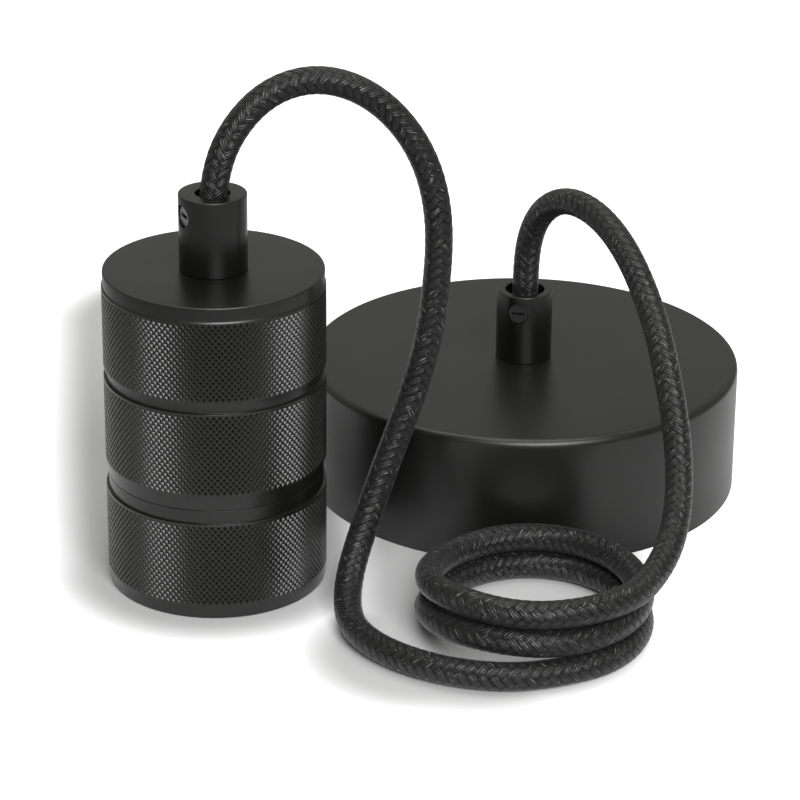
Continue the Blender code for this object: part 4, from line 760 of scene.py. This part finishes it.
ceramic = smooth_skin("steatite ceramic, white glaze", "e6e3da", "d9d4c8", 0.22, 3 * MM)
brown_skin = smooth_skin("core insulation, brown", "6b3f22", "5e3519", 0.45, 2 * MM)
blue_skin = smooth_skin("core insulation, blue", "2d5f9e", "27558f", 0.45, 2 * MM)
earth_skin = smooth_skin("core insulation, green and yellow", "3f8a3a", "d8c22a", 0.45, 2 * MM)

finish_of_slot = {"zinc_steel": zinc_plate, "nickel_brass": nickel_plate, "white_ceramic": ceramic,
                  "black_screw": blackened, "black_steel": powder_coat, "black_aluminium": anodised,
                  "brown_core": brown_skin, "blue_core": blue_skin, "earth_core": earth_skin,
                  "black_braid": braid}
slot_of_node = {part["node"]: part["material_slot"] for part in frame["record"]["subparts"]}
for name, node in frame["nodes"].items():
    if not node.hide_render:
        node.data.materials.clear()
        node.data.materials.append(finish_of_slot[slot_of_node[name]])
        print(name, "->", finish_of_slot[slot_of_node[name]].name)

# %% [markdown]
# ## Floor and light
#
# The set stands on a white table in a small tent of light. What the camera sees of the table is lifted to
# white, as it is in a shop's picture, except in painted shadow beside the pieces and in a strip behind the
# holder: there the lift is left out, so the table shows its grey paint with the lamps' own shadows on it.
# Each place of painted shadow is all that lies within a reach of a line segment, and the distance to a
# segment is the distance to its nearest point, whose share along it is a dot product held between 0 and 1.
# The black skins mirror the table too, through a painted reflection: rays that bounce off them see the
# table white nearby and greyer further off. The sky is dim low down and lighter above. A soft box overhead
# gives the shadows, and one from the front draws the thin bright lines on the edges.

# %% Floor
# Each strip of painted shadow is the start and end of a line on the floor, and its reach, in millimetres.
PAINTED_SHADOW_STRIPS = [((-48, -40, 0), (-62, 106, 0), 25), ((14, 5, 0), (28, 20, 0), 32),
                 ((14, -28, 0), (14, -70, 0), 22), ((-2, -79, 0), (8, -80, 0), 16)]
SOFT_EDGE, CAMERA_LIFT, HALF_TABLE = 18 * MM, 0.9, 6.0
floor_mesh = bpy.data.meshes.new("floor")
floor_corners = np.array([[-1, -1, 0], [1, -1, 0], [1, 1, 0], [-1, 1, 0]]) * HALF_TABLE
floor_mesh.from_pydata(floor_corners, [], [[0, 1, 2, 3]])
floor = bpy.data.objects.new("floor", floor_mesh)
bpy.context.scene.collection.objects.link(floor)
table_top, tree, shader = start_material("table, matt white, painted shadow and reflection", "c6c6c6", 0.0, 0.9, 0.0)
rays = add_node(tree, "ShaderNodeLightPath")
spot = add_node(tree, "ShaderNodeTexCoord").outputs["Object"]
away = add_node(tree, "ShaderNodeVectorMath", {"operation": "LENGTH"}, {0: spot})
# Painted reflection: rays that bounce off the pieces see the table white within 0.14 m of the middle.
painted_reflection_fade = add_node(tree, "ShaderNodeMapRange", {"interpolation_type": "SMOOTHSTEP"},
                {"Value": away.outputs["Value"], "From Min": 0.14, "From Max": 0.28})
# The painted reflection fades to b0b0b0 beyond 0.28 m.
mirrored = add_node(tree, "ShaderNodeMix", {"data_type": "RGBA"},
                    {0: painted_reflection_fade.outputs[0], 6: linear("ffffff"), 7: linear("b0b0b0")})
# The camera and the lamps see c6c6c6; reflected rays see the painted reflection.
paint = add_node(tree, "ShaderNodeMix", {"data_type": "RGBA"},
                 {0: rays.outputs["Is Glossy Ray"], 6: linear("c6c6c6"), 7: mirrored.outputs[2]})
tree.links.new(paint.outputs[2], shader.inputs["Base Color"])
nearest = add_node(tree, "ShaderNodeValue")
nearest.outputs[0].default_value = 1.0
for start, end, reach in PAINTED_SHADOW_STRIPS:
    start, run = Vector(start) * MM, (Vector(end) - Vector(start)) * MM
    offset = add_node(tree, "ShaderNodeVectorMath", {"operation": "SUBTRACT"}, {0: spot, 1: start})
    share = add_node(tree, "ShaderNodeVectorMath", {"operation": "DOT_PRODUCT"},
                     {0: offset.outputs[0], 1: run / run.length_squared})
    held = add_node(tree, "ShaderNodeClamp", None, {"Value": share.outputs["Value"]})
    foot = add_node(tree, "ShaderNodeVectorMath", {"operation": "SCALE"}, {0: run, "Scale": held.outputs[0]})
    off = add_node(tree, "ShaderNodeVectorMath", {"operation": "DISTANCE"},
                   {0: offset.outputs[0], 1: foot.outputs[0]})
    outside = add_node(tree, "ShaderNodeMath", {"operation": "SUBTRACT"},
                       {0: off.outputs["Value"], 1: reach * MM})
    nearest = add_node(tree, "ShaderNodeMath", {"operation": "MINIMUM"},
                       {0: nearest.outputs[0], 1: outside.outputs[0]})
# Painted shadow: the white lift fades in from 1 mm outside the strips and is left out inside them.
lift_outside_painted_shadow = add_node(tree, "ShaderNodeMapRange", {"interpolation_type": "SMOOTHSTEP"},
                {"Value": nearest.outputs[0], "From Min": 1 * MM, "From Max": SOFT_EDGE,
                 "To Max": CAMERA_LIFT})
lifted = add_node(tree, "ShaderNodeMath", {"operation": "MULTIPLY"},
                  {0: rays.outputs["Is Camera Ray"], 1: lift_outside_painted_shadow.outputs[0]})
shader.inputs["Emission Color"].default_value = linear("ffffff")
tree.links.new(lifted.outputs[0], shader.inputs["Emission Strength"])
floor_mesh.materials.append(table_top)
print(table_top.name, "nodes:", len(tree.nodes))

# %% Sky and soft boxes
world = bpy.data.worlds.new("studio")
bpy.context.scene.world = world
world.use_nodes = True
tree = world.node_tree
background = tree.nodes["Background"]
rays = add_node(tree, "ShaderNodeLightPath")
looking = add_node(tree, "ShaderNodeTexCoord").outputs["Generated"]
height = add_node(tree, "ShaderNodeSeparateXYZ", None, {0: looking})
backdrop = add_node(tree, "ShaderNodeMapRange", {"clamp": True, "interpolation_type": "SMOOTHSTEP"},
                    {"Value": height.outputs["Z"], "From Max": 0.3, "To Min": 0.2, "To Max": 0.44})
mirrored = add_node(tree, "ShaderNodeMath", {"operation": "MAXIMUM"},
                    {0: rays.outputs["Is Glossy Ray"], 1: rays.outputs["Is Transmission Ray"]})
plain = add_node(tree, "ShaderNodeMix", {"data_type": "FLOAT"},
                 {0: mirrored.outputs[0], 2: 0.12, 3: backdrop.outputs[0]})
strength = add_node(tree, "ShaderNodeMix", {"data_type": "FLOAT"},
                    {0: rays.outputs["Is Camera Ray"], 2: plain.outputs[0], 3: 1.0})
background.inputs["Color"].default_value = linear("fffff7")
tree.links.new(strength.outputs[0], background.inputs["Strength"])


def soft_box(name, azimuth, elevation, distance, size, radiance):
    """A square light. Azimuth 0 is the camera's side, and 90 the right. Power is radiance x pi x area."""
    light = bpy.data.lights.new(name, "AREA")
    light.shape, light.size = "SQUARE", size
    light.energy = radiance * math.pi * size ** 2
    a, e = math.radians(azimuth), math.radians(elevation)
    towards = Vector((math.sin(a) * math.cos(e), -math.cos(a) * math.cos(e), math.sin(e)))
    lamp = bpy.data.objects.new(name, light)
    lamp.location = Vector((0, -0.03, 0.04)) + towards * distance
    lamp.rotation_euler = towards.to_track_quat("Z", "Y").to_euler()
    bpy.context.scene.collection.objects.link(lamp)
    print(name, "power in W:", round(light.energy, 2))


soft_box("overhead soft box", 170, 82, 0.55, 0.52, 2.0)
soft_box("front soft box", 13, 38, 2.0, 1.1, 11.0)
bpy.context.scene.view_settings.view_transform = "Standard"
